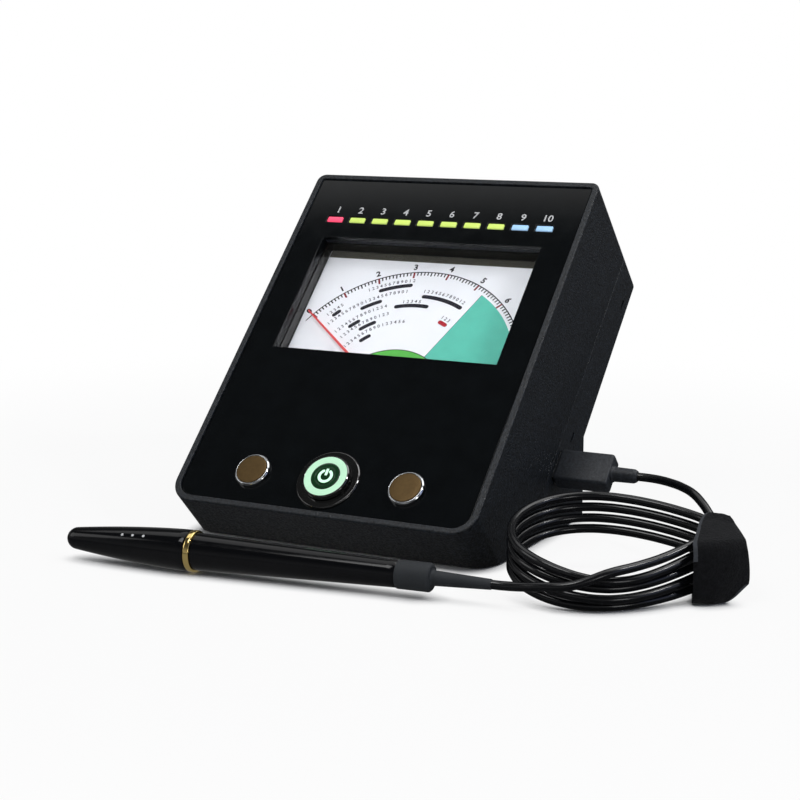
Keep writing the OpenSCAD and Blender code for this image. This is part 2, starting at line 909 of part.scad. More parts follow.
module led_board() color("#1f5c3a")
    difference() {
        on_face(-led_board_half, led_board_low, led_board_front - board_thickness)
            cube([2 * led_board_half, led_board_high - led_board_low, board_thickness]);
        at_led_screws()
            bar(screw_radius + screw_clearance, led_board_front - board_thickness - cut,
                led_board_front + cut);
    }

module led_board_screws() color("silver")
    at_led_screws()
        screw(led_board_front - board_thickness - screw_head_height, led_board_front - board_thickness,
            backing_back - 0.2, screw_radius, screw_head);

module at_button(side) {
    on_face(side * button_x, button_s)
        children();
}

module side_bezel(side) {
    at_button(side)
        difference() {
            union() {
                bar(button_radius, panel_front, button_top);
                bar(button_neck, button_floor, panel_front + button_seat / 2);
            }
            bar(button_bore, button_seat_top, button_top + cut);
            bar(button_stem + cap_clearance, button_floor - cut, button_top);
            bar(button_chamber, button_floor - cut, button_collar_top + 0.3);
        }
}

module side_cap(side) {
    at_button(side) {
        bar(button_bore - cap_clearance, button_cap_low, button_cap_top);
        bar(button_stem, button_collar_top, button_cap_low + cut / 2);
        bar(button_collar_radius, button_collar_top - button_collar_height, button_collar_top);
    }
}

module hex_nut(flat, bore, low, high) {
    difference() {
        translate([0, 0, low])
            cylinder(r = flat / cos(30), h = high - low, $fn = 6);
        bar(bore, low - cut, high + cut);
    }
}

module side_nut(side) {
    at_button(side)
        hex_nut(button_nut * cos(30), button_neck + neck_clearance, backing_back - button_nut_height,
            backing_back);
}

// Helical tube along its own axis, from the low to the high level
module spring(radius, wire, turns, low, high) {
    steps = 12 * turns;
    rise = high - low - 2 * wire;
    tube([for (i = [0:steps]) [radius * cos(30 * i), radius * sin(30 * i), low + wire + rise * i / steps]],
        wire, coil_sides);
}

module side_spring(side) {
    at_button(side)
        spring(button_collar_radius - 0.5, 0.35, 5, button_floor + 0.2,
            button_collar_top - button_collar_height - 0.2);
}

module switch_body(radius, height, pins, top) {
    bar(radius, top - height, top);
    for (side = [-1, 1])
        translate([side * pins, 0, 0])
            block(1.2, 0.6, top - height - pin_length, top - height + cut);
}

module side_switch(side) {
    at_button(side)
        switch_body(button_neck - 0.2, button_switch_height, 2.5, button_floor);
}

module left_bezel() color("#d8dadd") side_bezel(-1);
module left_cap() color("#87704a") side_cap(-1);
module left_nut() color("#b4b6b8") side_nut(-1);
module left_spring() color("#a8abae") side_spring(-1);
module left_switch() color("#2a2a2a") side_switch(-1);
module right_bezel() color("#d8dadd") side_bezel(1);
module right_cap() color("#87704a") side_cap(1);
module right_nut() color("#b4b6b8") side_nut(1);
module right_spring() color("#a8abae") side_spring(1);
module right_switch() color("#2a2a2a") side_switch(1);

module power_bezel() color("#111315")
    on_face(0, button_s)
        difference() {
            union() {
                bar(power_flange, panel_front, power_flange_top);
                bar(power_neck, power_floor, panel_front + cut / 2);
            }
            bar(power_bore, power_floor - cut, power_flange_top + cut);
            bar(power_chamber, power_floor - cut, power_collar_top + 0.3);
        }

module power_cap() color("#0c0e0d")
    on_face(0, button_s)
        difference() {
            union() {
                bar(power_radius, power_collar_top - power_collar_height, power_top);
                bar(power_chamber - 0.35, power_collar_top - power_collar_height, power_collar_top);
            }
            bar(power_hollow, power_collar_top - power_collar_height - cut, power_roof);
            difference() {
                bar(halo_outer + 0.05, power_top - halo_depth, power_top + cut);
                bar(halo_inner - 0.05, power_top - halo_depth - cut, power_top + 2 * cut);
            }
        }

module power_halo() color("#bef5cd")
    on_face(0, button_s)
        difference() {
            bar(halo_outer, power_top - halo_depth, power_top);
            bar(halo_inner, power_top - halo_depth - cut, power_top + cut);
        }

module power_nut() color("#b4b6b8")
    on_face(0, button_s)
        hex_nut(power_nut_flat, power_neck + neck_clearance, backing_back - power_nut_height, backing_back);

module power_spring() color("#a8abae")
    on_face(0, button_s)
        spring(6, 0.5, 4, power_floor + 0.2, power_roof - 0.2);

module power_switch() color("#2a2a2a")
    on_face(0, button_s)
        switch_body(power_switch_radius, power_switch_height, 4, power_floor);

module main_board() color("#1f5c3a")
    difference() {
        union() {
            on_face(-board_half, board_low, board_back)
                cube([2 * board_half, board_high - board_low, board_thickness]);
            on_face(board_half - cut, usb_s - board_tongue, board_back)
                cube([case_width / 2 - case_wall - 2 - board_half + cut, 2 * board_tongue, board_thickness]);
        }
        at_board_screws()
            bar(screw_radius + screw_clearance, board_back - cut, board_front + cut);
    }

module board_screws() color("silver")
    at_board_screws()
        screw(board_front + screw_head_height, board_front, board_back - board_screw_length + 0.5,
            screw_radius, screw_head);

module usb_socket() color("#c3c7cb")
    on_face(0, usb_s, -usb_depth)
        translate([socket_mouth - socket_length, 0, 0])
            difference() {
                translate([0, -socket_width / 2, -socket_thickness / 2])
                    cube([socket_length, socket_width, socket_thickness]);
                translate([2, -socket_width / 2 + socket_wall, -socket_thickness / 2 + socket_wall])
                    cube([socket_length, socket_width - 2 * socket_wall, socket_thickness - 2 * socket_wall]);
            }

module buzzer() color("#202224")
    on_face(-board_half / 2, (board_low + board_high) / 2)
        difference() {
            bar(6, board_front, board_front + 7);
            bar(1, board_front + 5, board_front + 7 + cut);
        }

// The inlet's nose fills the hole in the rear wall, its body stands behind it
module power_jack() color("#242424")
    translate([jack_x, base_rear - 0.2, jack_z])
        rotate([90, 0, 0])
            difference() {
                union() {
                    cylinder(r = jack_nose, h = case_wall + cut);
                    translate([-jack_size / 2, -jack_size / 2, case_wall])
                        cube([jack_size, jack_size, jack_length]);
                }
                difference() {
                    translate([0, 0, -cut])
                        cylinder(r = jack_bore, h = jack_depth + cut);
                    cylinder(r = jack_pin, h = jack_depth + 2 * cut);
                }
            }

module plug_body() color("#1b1c1e")
    on_face(0, usb_s, -usb_depth) {
        translate([plug_inner, -plug_width / 2, -plug_thickness / 2])
            cube([plug_length, plug_width, plug_thickness]);
        translate([plug_inner + plug_length - cut, 0, 0])
            rotate([0, 90, 0])
                cylinder(r = relief_radius, h = relief_length + cut);
    }

module plug_shell() color("#c3c7cb")
    on_face(0, usb_s, -usb_depth)
        translate([plug_inner - shell_length, -shell_width / 2, -shell_thickness / 2])
            difference() {
                cube([shell_length, shell_width, shell_thickness]);
                translate([-cut, 0.4, shell_thickness / 2])
                    cube([shell_length, shell_width - 0.8, shell_thickness / 2 - 0.4]);
            }

function unit(v) = v / norm(v);
function tangent(p, i) = let (last = len(p) - 1)
    i == 0 ? unit(p[1] - p[0])
    : i == last ? unit(p[last] - p[last - 1])
    : unit(unit(p[i + 1] - p[i]) + unit(p[i] - p[i - 1]));

// A closed tube along the points, with a ring of corners at each of them
module tube(points, radius, sides) {
    count = len(points);
    corners = [for (i = [0:count - 1])
        let (t = tangent(points, i), a = unit(cross(t, [0, 0, 1])), b = cross(t, a))
        for (k = [0:sides - 1])
            points[i] + radius * (cos(360 * k / sides) * a + sin(360 * k / sides) * b)];
    end = (count - 1) * sides;
    walls = [for (i = [0:count - 2], k = [0:sides - 1])
        let (here = i * sides + k, next = i * sides + (k + 1) % sides)
        each [[here, here + sides, next + sides], [here, next + sides, next]]];
    first = [for (k = [1:sides - 2]) [0, k, k + 1]];
    last = [for (k = [1:sides - 2]) [end, end + k + 1, end + k]];
    polyhedron(corners, concat(walls, first, last));
}

// A place on the coil, measured round the loops from its right end
function coil_point(turn) =
    let (left = (coil_lowest - turn) / 360,
        lean = coil_lean * pow(max(0, -sin(turn)), 3),
        narrow = 1 - coil_pinch * pow((1 + cos(turn)) / 2, 2),
        across = coil_half_width * narrow * sin(turn),
        stagger = coil_step * sin(lean) / 2 * cos(180 * left),
        along = coil_half_length * cos(turn),
        climb = coil_rise * (across / coil_half_width + 1 - coil_pinch / 4) / 2,
        height = cord_radius + climb + coil_step * cos(lean) * left)
    from_coil([along, across + stagger, height]);
// From the coil's own axes to the table frame
function from_coil(p) = [
    coil_centre[0] + p[0] * cos(coil_angle) - p[1] * sin(coil_angle),
    coil_centre[1] + p[0] * sin(coil_angle) + p[1] * cos(coil_angle),
    p[2]];
function coil_path() = [for (i = [0:coil_rings * coil_loops]) coil_point(coil_first + 360 * i / coil_rings)];

coil_points = coil_path();
coil_begin_way = unit(coil_points[1] - coil_points[0]);
coil_end_way = unit(coil_points[len(coil_points) - 1] - coil_points[len(coil_points) - 2]);
// Least gap between loops, on the rings and on the middles between them
gap_points = [for (i = [0:len(coil_points) - 2])
    each [coil_points[i], (coil_points[i] + coil_points[i + 1]) / 2]];
coil_gap = min([for (i = [0:len(gap_points) - 1], j = [i + coil_rings:1:len(gap_points) - 1])
    norm(gap_points[i] - gap_points[j])]) - cord_diameter;
echo(coil_least_gap = coil_gap);

probe_axis = [cos(probe_angle), sin(probe_angle), 0];
probe_end = [probe_tip_place[0], probe_tip_place[1], ring_radius] + probe_length * probe_axis;
plug_end = [relief_end, front_edge_y + usb_s * cos(face_angle) + usb_depth * sin(face_angle),
    front_edge_height + usb_s * sin(face_angle) - usb_depth * cos(face_angle)];
probe_points = concat([probe_end, probe_end + cord_diameter * probe_axis], probe_route,
    [coil_points[0] - cord_diameter * coil_begin_way, coil_points[0]]);
plug_points = concat([coil_points[len(coil_points) - 1],
    coil_points[len(coil_points) - 1] + cord_diameter * coil_end_way], plug_route,
    [plug_end + [cord_diameter, 0, 0], plug_end]);

function run_length(p) = len(p) < 2 ? 0 : norm(p[1] - p[0]) + run_length([for (i = [1:len(p) - 1]) p[i]]);
echo(cord_length = run_length(probe_points) + run_length(coil_points) + run_length(plug_points));

module cord_probe_run() color("#15161a")
    tube(probe_points, cord_radius, cord_sides);

module cord_coil() color("#15161a")
    tube(coil_points, cord_radius, coil_sides);

module cord_plug_run() color("#15161a")
    tube(plug_points, cord_radius, cord_sides);

// The strap is a band round the narrow end of the loops, with its tail turned down in front
module strap_section(grow) {
    hull()
        for (p = strap_inner)
            translate(p)
                circle(r = strap_round + grow, $fn = 32);
}

module coil_strap() color("#121317")
    translate([coil_centre[0], coil_centre[1], 0])
        rotate([0, 0, coil_angle])
            union() {
                translate([strap_start, 0, 0])
                    rotate([90, 0, 90])
                        linear_extrude(strap_length)
                            difference() {
                                strap_section(strap_thickness);
                                strap_section(0);
                            }
                translate([0, strap_front - strap_round - strap_thickness + 0.2, 0])
                    rotate([90, 0, 0])
                        linear_extrude(strap_thickness + 0.2)
                            polygon(strap_tail);
            }

// Places along the probe, from the tip of its cap
module on_probe() {
    translate([probe_tip_place[0], probe_tip_place[1], ring_radius])
        rotate([0, 0, probe_angle])
            rotate([0, 90, 0])
                children();
}

// Radius of the cap along its length: a round tip, then a swelling taper
function cap_profile(z) =
    let (swell = 1 - pow(1 - z / cap_length, 1.6), tip = min(1, z / cap_tip_radius))
    (cap_tip_radius + (cap_mouth_radius - cap_tip_radius) * swell) * sqrt(1 - pow(1 - tip, 2));

module probe_cap() color("#0d0e10")
    on_probe()
        difference() {
            rotate_extrude()
                polygon(concat([for (z = [0:0.6:4.2]) [cap_profile(z), z]],
                    [for (z = [6:5:cap_length - 3]) [cap_profile(z), z]],
                    [[cap_mouth_radius, cap_length], [0, cap_length]]));
            rotate_extrude()
                polygon([[0, 6], [cap_profile(6) - cap_wall - 1, 6], [cap_bore - 0.4, neck_start - 2],
                    [cap_bore, neck_start - 1.6], [cap_bore, cap_length + cut], [0, cap_length + cut]]);
        }

module probe_ring() color("#c9a13b")
    on_probe()
        difference() {
            bar(ring_radius, ring_start, barrel_start);
            bar(neck_radius + 0.05, ring_start - cut, barrel_start + cut);
        }

module probe_barrel() color("#101113")
    on_probe()
        difference() {
            union() {
                bar(neck_radius, neck_start, barrel_start + cut);
                translate([0, 0, barrel_start])
                    cylinder(r1 = barrel_front_radius, r2 = barrel_rear_radius, h = barrel_length);
            }
            bar(nose_tail + 0.05, neck_start - cut, nose_tail_end + 0.3);
            bar(nose_tail - 0.8, nose_tail_end, collar_start - 3);
        }

module probe_collar() color("#55585b")
    on_probe() {
        bar(collar_radius, collar_start, sleeve_start);
        translate([0, 0, sleeve_start - cut])
            cylinder(r1 = sleeve_radius, r2 = sleeve_end_radius, h = sleeve_length + cut);
    }

module probe_nose() color("#c7c9cc")
    on_probe()
        difference() {
            union() {
                translate([0, 0, nose_front])
                    cylinder(r1 = pin_chamber + 0.2, r2 = neck_radius - 1, h = neck_start - nose_front);
                bar(nose_tail, neck_start - cut, nose_tail_end);
            }
            bar(pin_radius + pin_clearance, nose_front - cut, pin_collar_start);
            bar(pin_chamber, pin_collar_start - 0.3, tip_spring_end);
        }

module probe_tip() color("#b87333")
    on_probe() {
        bar(pin_radius, pin_front, pin_collar_start + cut);
        bar(pin_collar, pin_collar_start, pin_collar_start + pin_collar_height);
    }

module probe_tip_spring() color("#a8abae")
    on_probe()
        spring(pin_collar - 0.4, 0.25, 6, pin_collar_start + pin_collar_height + 0.2, tip_spring_end - 0.2);

front_shell();
rear_cover();
cover_screws();
base_pads();
front_panel();
window_pane();
meter_case();
meter_screws();
dial_plate();
dial_screws();
needle();
spindle();
moving_coil();
hairspring();
meter_core();
meter_magnet();
meter_yoke();
front_bridge();
rear_bridge();
led_red();
led_green();
led_blue();
led_board();
led_board_screws();
left_bezel();
left_cap();
left_nut();
left_spring();
left_switch();
right_bezel();
right_cap();
right_nut();
right_spring();
right_switch();
power_bezel();
power_cap();
power_halo();
power_nut();
power_spring();
power_switch();
main_board();
board_screws();
usb_socket();
buzzer();
power_jack();
plug_body();
plug_shell();
cord_plug_run();
cord_coil();
cord_probe_run();
coil_strap();
probe_barrel();
probe_ring();
probe_collar();
probe_nose();
probe_tip();
probe_tip_spring();
probe_cap();
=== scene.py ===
"""Looks of a counter-top gem tester: a leaning case with a needle meter, a lamp row, three
buttons and a corded probe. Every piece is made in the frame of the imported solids, in metres.
Sizes in the classes are in millimetres where nothing else is said."""

from __future__ import annotations

import logging
import math
from dataclasses import dataclass, field
from enum import Enum
from typing import Callable, Sequence

import bmesh
import bpy
from mathutils import Matrix, Vector

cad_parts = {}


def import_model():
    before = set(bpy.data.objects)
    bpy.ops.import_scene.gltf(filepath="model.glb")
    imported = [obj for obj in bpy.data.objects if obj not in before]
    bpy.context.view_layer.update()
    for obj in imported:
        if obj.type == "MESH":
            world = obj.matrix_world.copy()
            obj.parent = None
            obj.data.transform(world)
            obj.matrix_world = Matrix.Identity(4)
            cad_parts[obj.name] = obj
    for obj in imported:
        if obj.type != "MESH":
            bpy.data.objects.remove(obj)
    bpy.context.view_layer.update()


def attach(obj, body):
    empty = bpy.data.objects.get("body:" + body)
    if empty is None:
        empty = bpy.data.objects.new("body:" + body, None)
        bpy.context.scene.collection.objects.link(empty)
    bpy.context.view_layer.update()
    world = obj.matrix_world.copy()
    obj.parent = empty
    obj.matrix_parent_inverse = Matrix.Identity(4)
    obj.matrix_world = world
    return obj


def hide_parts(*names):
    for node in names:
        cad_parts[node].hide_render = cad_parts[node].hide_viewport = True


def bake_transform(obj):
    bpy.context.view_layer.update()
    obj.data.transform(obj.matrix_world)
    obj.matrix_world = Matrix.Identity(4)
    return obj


log = logging.getLogger("gem_tester")

Point2 = tuple[float, float]
Point3 = tuple[float, float, float]
Colour = tuple[float, float, float, float]
EdgeTest = Callable[[Vector, Vector], bool]
# Radius of a rounding and the steps along it
Rounding = tuple[float, int]

MM = 0.001
WHITE: Colour = (1.0, 1.0, 1.0, 1.0)
# The part of a noise texture's range that most of its values fall in
NOISE_SPAN: Point2 = (0.3, 0.7)
# Points closer than this, in millimetres, are one point: on a made piece, and on a copied spring
JOINED = 0.0002
SPRING_JOINED = 0.001
# How near, in millimetres, a place is to a level, a wall or a round corner that it lies on
ON_LEVEL = 0.02
ON_WALL = 0.05
ON_CORNER = 0.08
# How far, in millimetres, a place may be past the end of a round corner and still belong to it
PAST_CORNER = 0.01
# A rounding takes at most one part in this many of a side
SIDE_PARTS = 2.1


class Body(Enum):
    """Rigid bodies that the made pieces ride on."""

    CASE = "case"
    POWER = "power_button"
    LEFT = "left_button"
    RIGHT = "right_button"
    CAP = "probe_cap"
    TIP = "probe_tip"


class Side(Enum):
    """Which of the two side buttons."""

    LEFT = -1
    RIGHT = 1


def clamp(share: float) -> float:
    """Keeps a share between 0 and 1."""
    return min(1.0, max(0.0, share))


def polar(angle: float, reach: float) -> Vector:
    """Gives a place at an angle, in radians to the right of straight up, and a reach."""
    return Vector((reach * math.sin(angle), reach * math.cos(angle)))


def linear(hex_colour: str) -> Colour:
    """Turns an sRGB hex colour into a linear one.

    Args:
        hex_colour: Colour as "#rrggbb".

    Returns:
        Red, green, blue and a full alpha, linear.
    """
    channels = [int(hex_colour[i:i + 2], 16) / 255 for i in (1, 3, 5)]
    light = [c / 12.92 if c <= 0.04045 else ((c + 0.055) / 1.055) ** 2.4 for c in channels]
    return (*light, 1.0)


def add(tree: bpy.types.NodeTree, kind: str, inputs: dict | None = None,
        **settings: object) -> bpy.types.Node:
    """Adds one node with its settings and links.

    Args:
        tree: The node tree.
        kind: The node's type name.
        inputs: Input name or index to a value, or to an output socket to link from.
        settings: The node's own properties.

    Returns:
        The new node.
    """
    node = tree.nodes.new(kind)
    for name, value in settings.items():
        setattr(node, name, value)
    for key, value in (inputs or {}).items():
        if isinstance(value, bpy.types.NodeSocket):
            tree.links.new(value, node.inputs[key])
        else:
            node.inputs[key].default_value = value
    return node


def link(name: str, data: bpy.types.ID) -> bpy.types.Object:
    """Adds an object to the scene.

    Args:
        name: The object's name.
        data: Its mesh, curve, lamp or camera.

    Returns:
        The object.
    """
    added = bpy.data.objects.new(name, data)
    bpy.context.scene.collection.objects.link(added)
    return added


@dataclass
class Surface:
    """A material's tree, its shader and the object coordinates that its patterns read."""

    tree: bpy.types.NodeTree
    shader: bpy.types.Node
    place: bpy.types.NodeSocket

    def set(self, values: dict) -> None:
        """Sets sockets of the shader to plain values."""
        for socket, value in values.items():
            self.shader.inputs[socket].default_value = value

    def feed(self, socket: str, output: bpy.types.NodeSocket) -> None:
        """Links an output to a socket of the shader."""
        self.tree.links.new(output, self.shader.inputs[socket])


@dataclass(frozen=True)
class Finish:
    """A moulded, cast or plated surface: colour with slight mottling, grain and roughness.

    Its sizes are in millimetres, so that the grain keeps its real scale.
    """

    name: str
    colour: str
    roughness: float
    metallic: float = 0.0
    ior: float = 1.5
    specular: float = 0.5
    mottle: float = 0.12
    mottle_mm: float = 9.0
    grain_mm: float = 0.5
    grain_height: float = 0.0
    roughness_spread: float = 0.06
    sheen: float = 0.0

    def material(self) -> bpy.types.Material:
        """Makes the material, once for each name.

        Returns:
            The material.
        """
        name = "finish_" + self.name
        if name in bpy.data.materials:
            return bpy.data.materials[name]
        material = bpy.data.materials.new(name)
        material.use_nodes = True
        tree = material.node_tree
        place = add(tree, "ShaderNodeTexCoord").outputs["Object"]
        surface = Surface(tree, tree.nodes["Principled BSDF"], place)
        surface.set({"Base Color": linear(self.colour), "Metallic": self.metallic, "IOR": self.ior,
                     "Specular IOR Level": self.specular, "Roughness": self.roughness,
                     "Sheen Weight": self.sheen})
        self.paint(surface)
        return material

    def paint(self, on: Surface) -> None:
        """Adds the mottling, the roughness and the grain.

        Args:
            on: The surface.
        """
        low, high = NOISE_SPAN
        cloud = add(on.tree, "ShaderNodeTexNoise", {
            "Vector": on.place, "Scale": 1 / (self.mottle_mm * MM), "Detail": 4.0})
        tint = add(on.tree, "ShaderNodeMapRange", {
            "Value": cloud.outputs["Fac"], "From Min": low, "From Max": high,
            "To Min": 1 - self.mottle, "To Max": 1 + self.mottle})
        shade = add(on.tree, "ShaderNodeVectorMath", {
            0: linear(self.colour)[:3], "Scale": tint.outputs["Result"]}, operation="SCALE")
        on.feed("Base Color", shade.outputs["Vector"])
        speck = add(on.tree, "ShaderNodeTexNoise", {
            "Vector": on.place, "Scale": 1 / (self.grain_mm * MM), "Detail": 3.0})
        rough = add(on.tree, "ShaderNodeMapRange", {
            "Value": speck.outputs["Fac"], "From Min": low, "From Max": high,
            "To Min": max(self.roughness - self.roughness_spread, 0.01),
            "To Max": min(self.roughness + self.roughness_spread, 1.0)})
        on.feed("Roughness", rough.outputs["Result"])
        if self.grain_height:
            bump = add(on.tree, "ShaderNodeBump", {
                "Height": speck.outputs["Fac"], "Strength": 1.0, "Distance": self.grain_height * MM})
            on.feed("Normal", bump.outputs["Normal"])


@dataclass(frozen=True)
class LitFinish(Finish):
    """A tinted lens or light guide with a lamp behind it."""

    glow: str = "#ffffff"
    strength: float = 1.0

    def paint(self, on: Surface) -> None:
        """Adds the lens's colour and its glow."""
        super().paint(on)
        on.set({"Emission Color": linear(self.glow), "Emission Strength": self.strength})


@dataclass(frozen=True)
class PileFinish(Finish):
    """Hook-and-loop tape: a knitted ground under a napped pile."""

    tuft_mm: float = 0.9
    fluff_mm: float = 0.25
    pile_height: float = 0.25
    pile_strength: float = 0.9

    def paint(self, on: Surface) -> None:
        """Adds the tufts of the pile and their fluff.

        Args:
            on: The surface.
        """
        super().paint(on)
        tufts = add(on.tree, "ShaderNodeTexVoronoi", {
            "Vector": on.place, "Scale": 1 / (self.tuft_mm * MM), "Randomness": 1.0})
        fluff = add(on.tree, "ShaderNodeTexNoise", {
            "Vector": on.place, "Scale": 1 / (self.fluff_mm * MM), "Detail": 5.0})
        height = add(on.tree, "ShaderNodeMath", {
            0: tufts.outputs["Distance"], 1: fluff.outputs["Fac"]}, operation="ADD")
        bump = add(on.tree, "ShaderNodeBump", {
            "Height": height.outputs["Value"], "Strength": self.pile_strength,
            "Distance": self.pile_height * MM})
        on.feed("Normal", bump.outputs["Normal"])


@dataclass(frozen=True)
class PaneFinish(Finish):
    """Clear sheet that lets light through to what is behind it."""

    def paint(self, on: Surface) -> None:
        """Makes the sheet clear, also to the light that falls through it.

        Args:
            on: The surface.
        """
        on.set({"Transmission Weight": 1.0})
        passing = add(on.tree, "ShaderNodeBsdfTransparent")
        path = add(on.tree, "ShaderNodeLightPath")
        mixed = add(on.tree, "ShaderNodeMixShader", {
            0: path.outputs["Is Shadow Ray"], 1: on.shader.outputs["BSDF"], 2: passing.outputs["BSDF"]})
        on.tree.links.new(mixed.outputs["Shader"], on.tree.nodes["Material Output"].inputs["Surface"])


# Spark-eroded ABS: a fine sandy grain that scatters the light, drawn coarse enough to show
TEXTURED_ABS = Finish("textured_abs", "#191e24", 0.45, grain_mm=0.85, grain_height=0.3, mottle=0.8,
                      mottle_mm=1.05, roughness_spread=0.2, specular=0.45)
# Black cast acrylic, polished: a mirror with next to no colour of its own
GLOSS_ACRYLIC = Finish("gloss_black_acrylic", "#0c0f11", 0.05, ior=1.49, specular=0.3, mottle=0.2,
                       grain_mm=6.0, roughness_spread=0.02)
# Clear acrylic of the meter window, whose own glare is kept low so that the print stays dark
CLEAR_ACRYLIC = PaneFinish("clear_acrylic", "#ffffff", 0.02, ior=1.3, specular=0.06)
# Moulded polystyrene of the meter, polished, so that its walls mirror the dial
METER_STYRENE = Finish("meter_styrene", "#282826", 0.16, grain_mm=1.2)
# Stove enamel on the dial's aluminium, a cold white
DIAL_ENAMEL = Finish("dial_enamel", "#f1f4fb", 0.5, mottle=0.012, mottle_mm=14, grain_mm=0.6)
# Screen-printed inks: matt, with the slight cloudiness of a thin layer
INK_NAVY = Finish("ink_navy", "#10101f", 0.6, specular=0.02, mottle=0.1, mottle_mm=2)
INK_GREY = Finish("ink_grey", "#34344a", 0.6, specular=0.02, mottle=0.1, mottle_mm=2)
INK_RED = Finish("ink_red", "#a91c2b", 0.6, specular=0.02, mottle=0.08, mottle_mm=2)
INK_MAROON = Finish("ink_maroon", "#7d1826", 0.6, specular=0.02, mottle=0.08, mottle_mm=2)
INK_TEAL = Finish("ink_teal", "#5fc5b2", 0.6, specular=0.02, mottle=0.04, mottle_mm=4)
INK_GREEN = Finish("ink_green", "#5cbb50", 0.6, specular=0.02, mottle=0.04, mottle_mm=4)
# Olive ink for a band of painted shade along the dial's top, where the window's top edge shades the dial
INK_PAINTED_SHADE = Finish("ink_olive", "#3b3a2e", 0.5, specular=0.02, mottle=0.15, mottle_mm=6)
INK_WHITE = Finish("ink_white", "#d9dadb", 0.5, mottle=0.1, mottle_mm=1.5)
# Sprayed paint on the needle, with a soft shine
NEEDLE_PAINT = Finish("needle_paint", "#d3222c", 0.35, mottle=0.05)
# Tinted polycarbonate lenses and light guides with a lamp behind each: an even, saturated glow
LENS_RED = LitFinish("lens_red", "#e0405f", 0.25, glow="#ee4c6c", strength=1.0)
LENS_GREEN = LitFinish("lens_yellow_green", "#c4dc58", 0.25, glow="#cbe480", strength=0.56)
LENS_BLUE = LitFinish("lens_blue", "#9fcdf2", 0.25, glow="#a4c8ea", strength=0.5)
RING_LIGHT = LitFinish("ring_light_guide", "#7fa488", 0.3, glow="#c6f4d4", strength=0.74)
SYMBOL_LIGHT = LitFinish("symbol_light_guide", "#7fa488", 0.3, glow="#c8fad8", strength=1.2)
BUTTON_GREEN = LitFinish("button_green_lens", "#0d2a17", 0.12, glow="#12401f", strength=0.35)
# Black moulding of the power button, polished to a hard shine
BUTTON_BLACK = Finish("button_gloss_black", "#0a0b0b", 0.08, ior=2.0, mottle=0.15, grain_mm=4,
                      roughness_spread=0.03)
# Bright chromium plate on the turned rims, the plug's shell and its socket: a clear mirror
CHROME = Finish("chromium_plate", "#d9dcdf", 0.08, metallic=1.0, mottle=0.03, roughness_spread=0.03)
# Satin bronze anodising, blasted before it was coloured: a soft shine with a fine sparkle
BRONZE = Finish("bronze_anodised", "#604b2a", 0.42, metallic=0.7, mottle=0.08, mottle_mm=1.4,
                grain_mm=0.35, grain_height=0.012)
# Zinc plate on steel fasteners and springs: pale, with blurred highlights
STEEL = Finish("zinc_plated_steel", "#a9acb0", 0.34, metallic=1.0, mottle=0.08, grain_mm=0.8)
# Machined iron of the magnet and its yoke: dull and dark, with a trace of the tool
IRON = Finish("machined_iron", "#5b5f63", 0.42, metallic=1.0, mottle=0.15, grain_mm=0.6, grain_height=0.01)
# Enamelled copper wire and the copper tip: a warm, slightly uneven shine
COPPER = Finish("enamelled_copper", "#b4713a", 0.35, metallic=1.0, mottle=0.12, grain_mm=0.4,
                grain_height=0.02)
# Rolled brass of the meter's bridges and its hairspring: yellow and bright
BRASS = Finish("rolled_brass", "#c5a255", 0.3, metallic=1.0, mottle=0.08, grain_mm=0.7)
# Green lacquer of the boards, half glossy
BOARD_MASK = Finish("solder_mask", "#1d5a37", 0.3, mottle=0.1, grain_mm=1.5)
# Moulded black nylon: half dull, with a fine grain
BLACK_NYLON = Finish("black_nylon", "#1c1d1f", 0.55, grain_mm=0.5, grain_height=0.02)
# Moulded rubber of the pads and the collar: dull, with a fine grain
PAD_RUBBER = Finish("pad_rubber", "#242425", 0.8, grain_mm=0.5, grain_height=0.03)
COLLAR_RUBBER = Finish("collar_rubber", "#262a2e", 0.7, grain_mm=0.4, grain_height=0.03)
# Moulded PVC of the plug: a fine matt grain, drawn coarse enough to show
PLUG_PVC = Finish("plug_pvc", "#262a30", 0.5, grain_mm=0.6, grain_height=0.08, mottle=0.5, mottle_mm=1.0,
                  roughness_spread=0.12)
# Extruded PVC jacket: smooth and shiny along its length
CORD_PVC = Finish("cord_pvc", "#0d0e11", 0.2, mottle=0.1, mottle_mm=20, grain_mm=6, roughness_spread=0.04)
# Hook-and-loop tape: a black nap, its tufts drawn large enough to show, and a paler copy of it on the edges
# that light grazes, a painted sheen
STRAP_PILE = PileFinish("strap_pile", "#0d0e11", 0.9, specular=0.2, mottle=0.35, mottle_mm=1.6,
                        grain_mm=0.4, sheen=0.06)
# The paler tape is a painted sheen: light grazing the band's upper edge and its folded, cut end
STRAP_PAINTED_SHEEN = PileFinish("strap_hem", "#3a3d42", 0.85, mottle=0.25, mottle_mm=1.5, grain_mm=0.4)
# Lacquer on the probe's barrel: deep black with long sharp highlights
PROBE_LACQUER = Finish("probe_lacquer", "#090a0d", 0.13, specular=0.28, mottle=0.12, grain_mm=3,
                       roughness_spread=0.03)
# Gold plate on the probe's ring, polished to a warm mirror
GOLD = Finish("gold_plate", "#f0d48a", 0.07, metallic=1.0, mottle=0.05, grain_mm=0.8)
# Pale ABS of the probe's nose, half matt
NOSE_ABS = Finish("nose_abs", "#c4c6c9", 0.4, grain_mm=0.8, grain_height=0.008)


def put(name: str, mesh: bpy.types.Mesh, finish: Finish, body: Body,
        stands_for: Sequence[str] = ()) -> bpy.types.Object:
    """Adds a finished mesh to the object.

    Args:
        name: The piece's name.
        mesh: Its mesh, in the row frame.
        finish: Its finish.
        body: The body it rides on.
        stands_for: The nodes that it replaces.

    Returns:
        The new object.
    """
    piece = link(name, mesh)
    mesh.materials.clear()
    mesh.materials.append(finish.material())
    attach(piece, body.value)
    if stands_for:
        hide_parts(*stands_for)
    log.info("%s: %d faces on %s", name, len(mesh.polygons), body.value)
    return piece


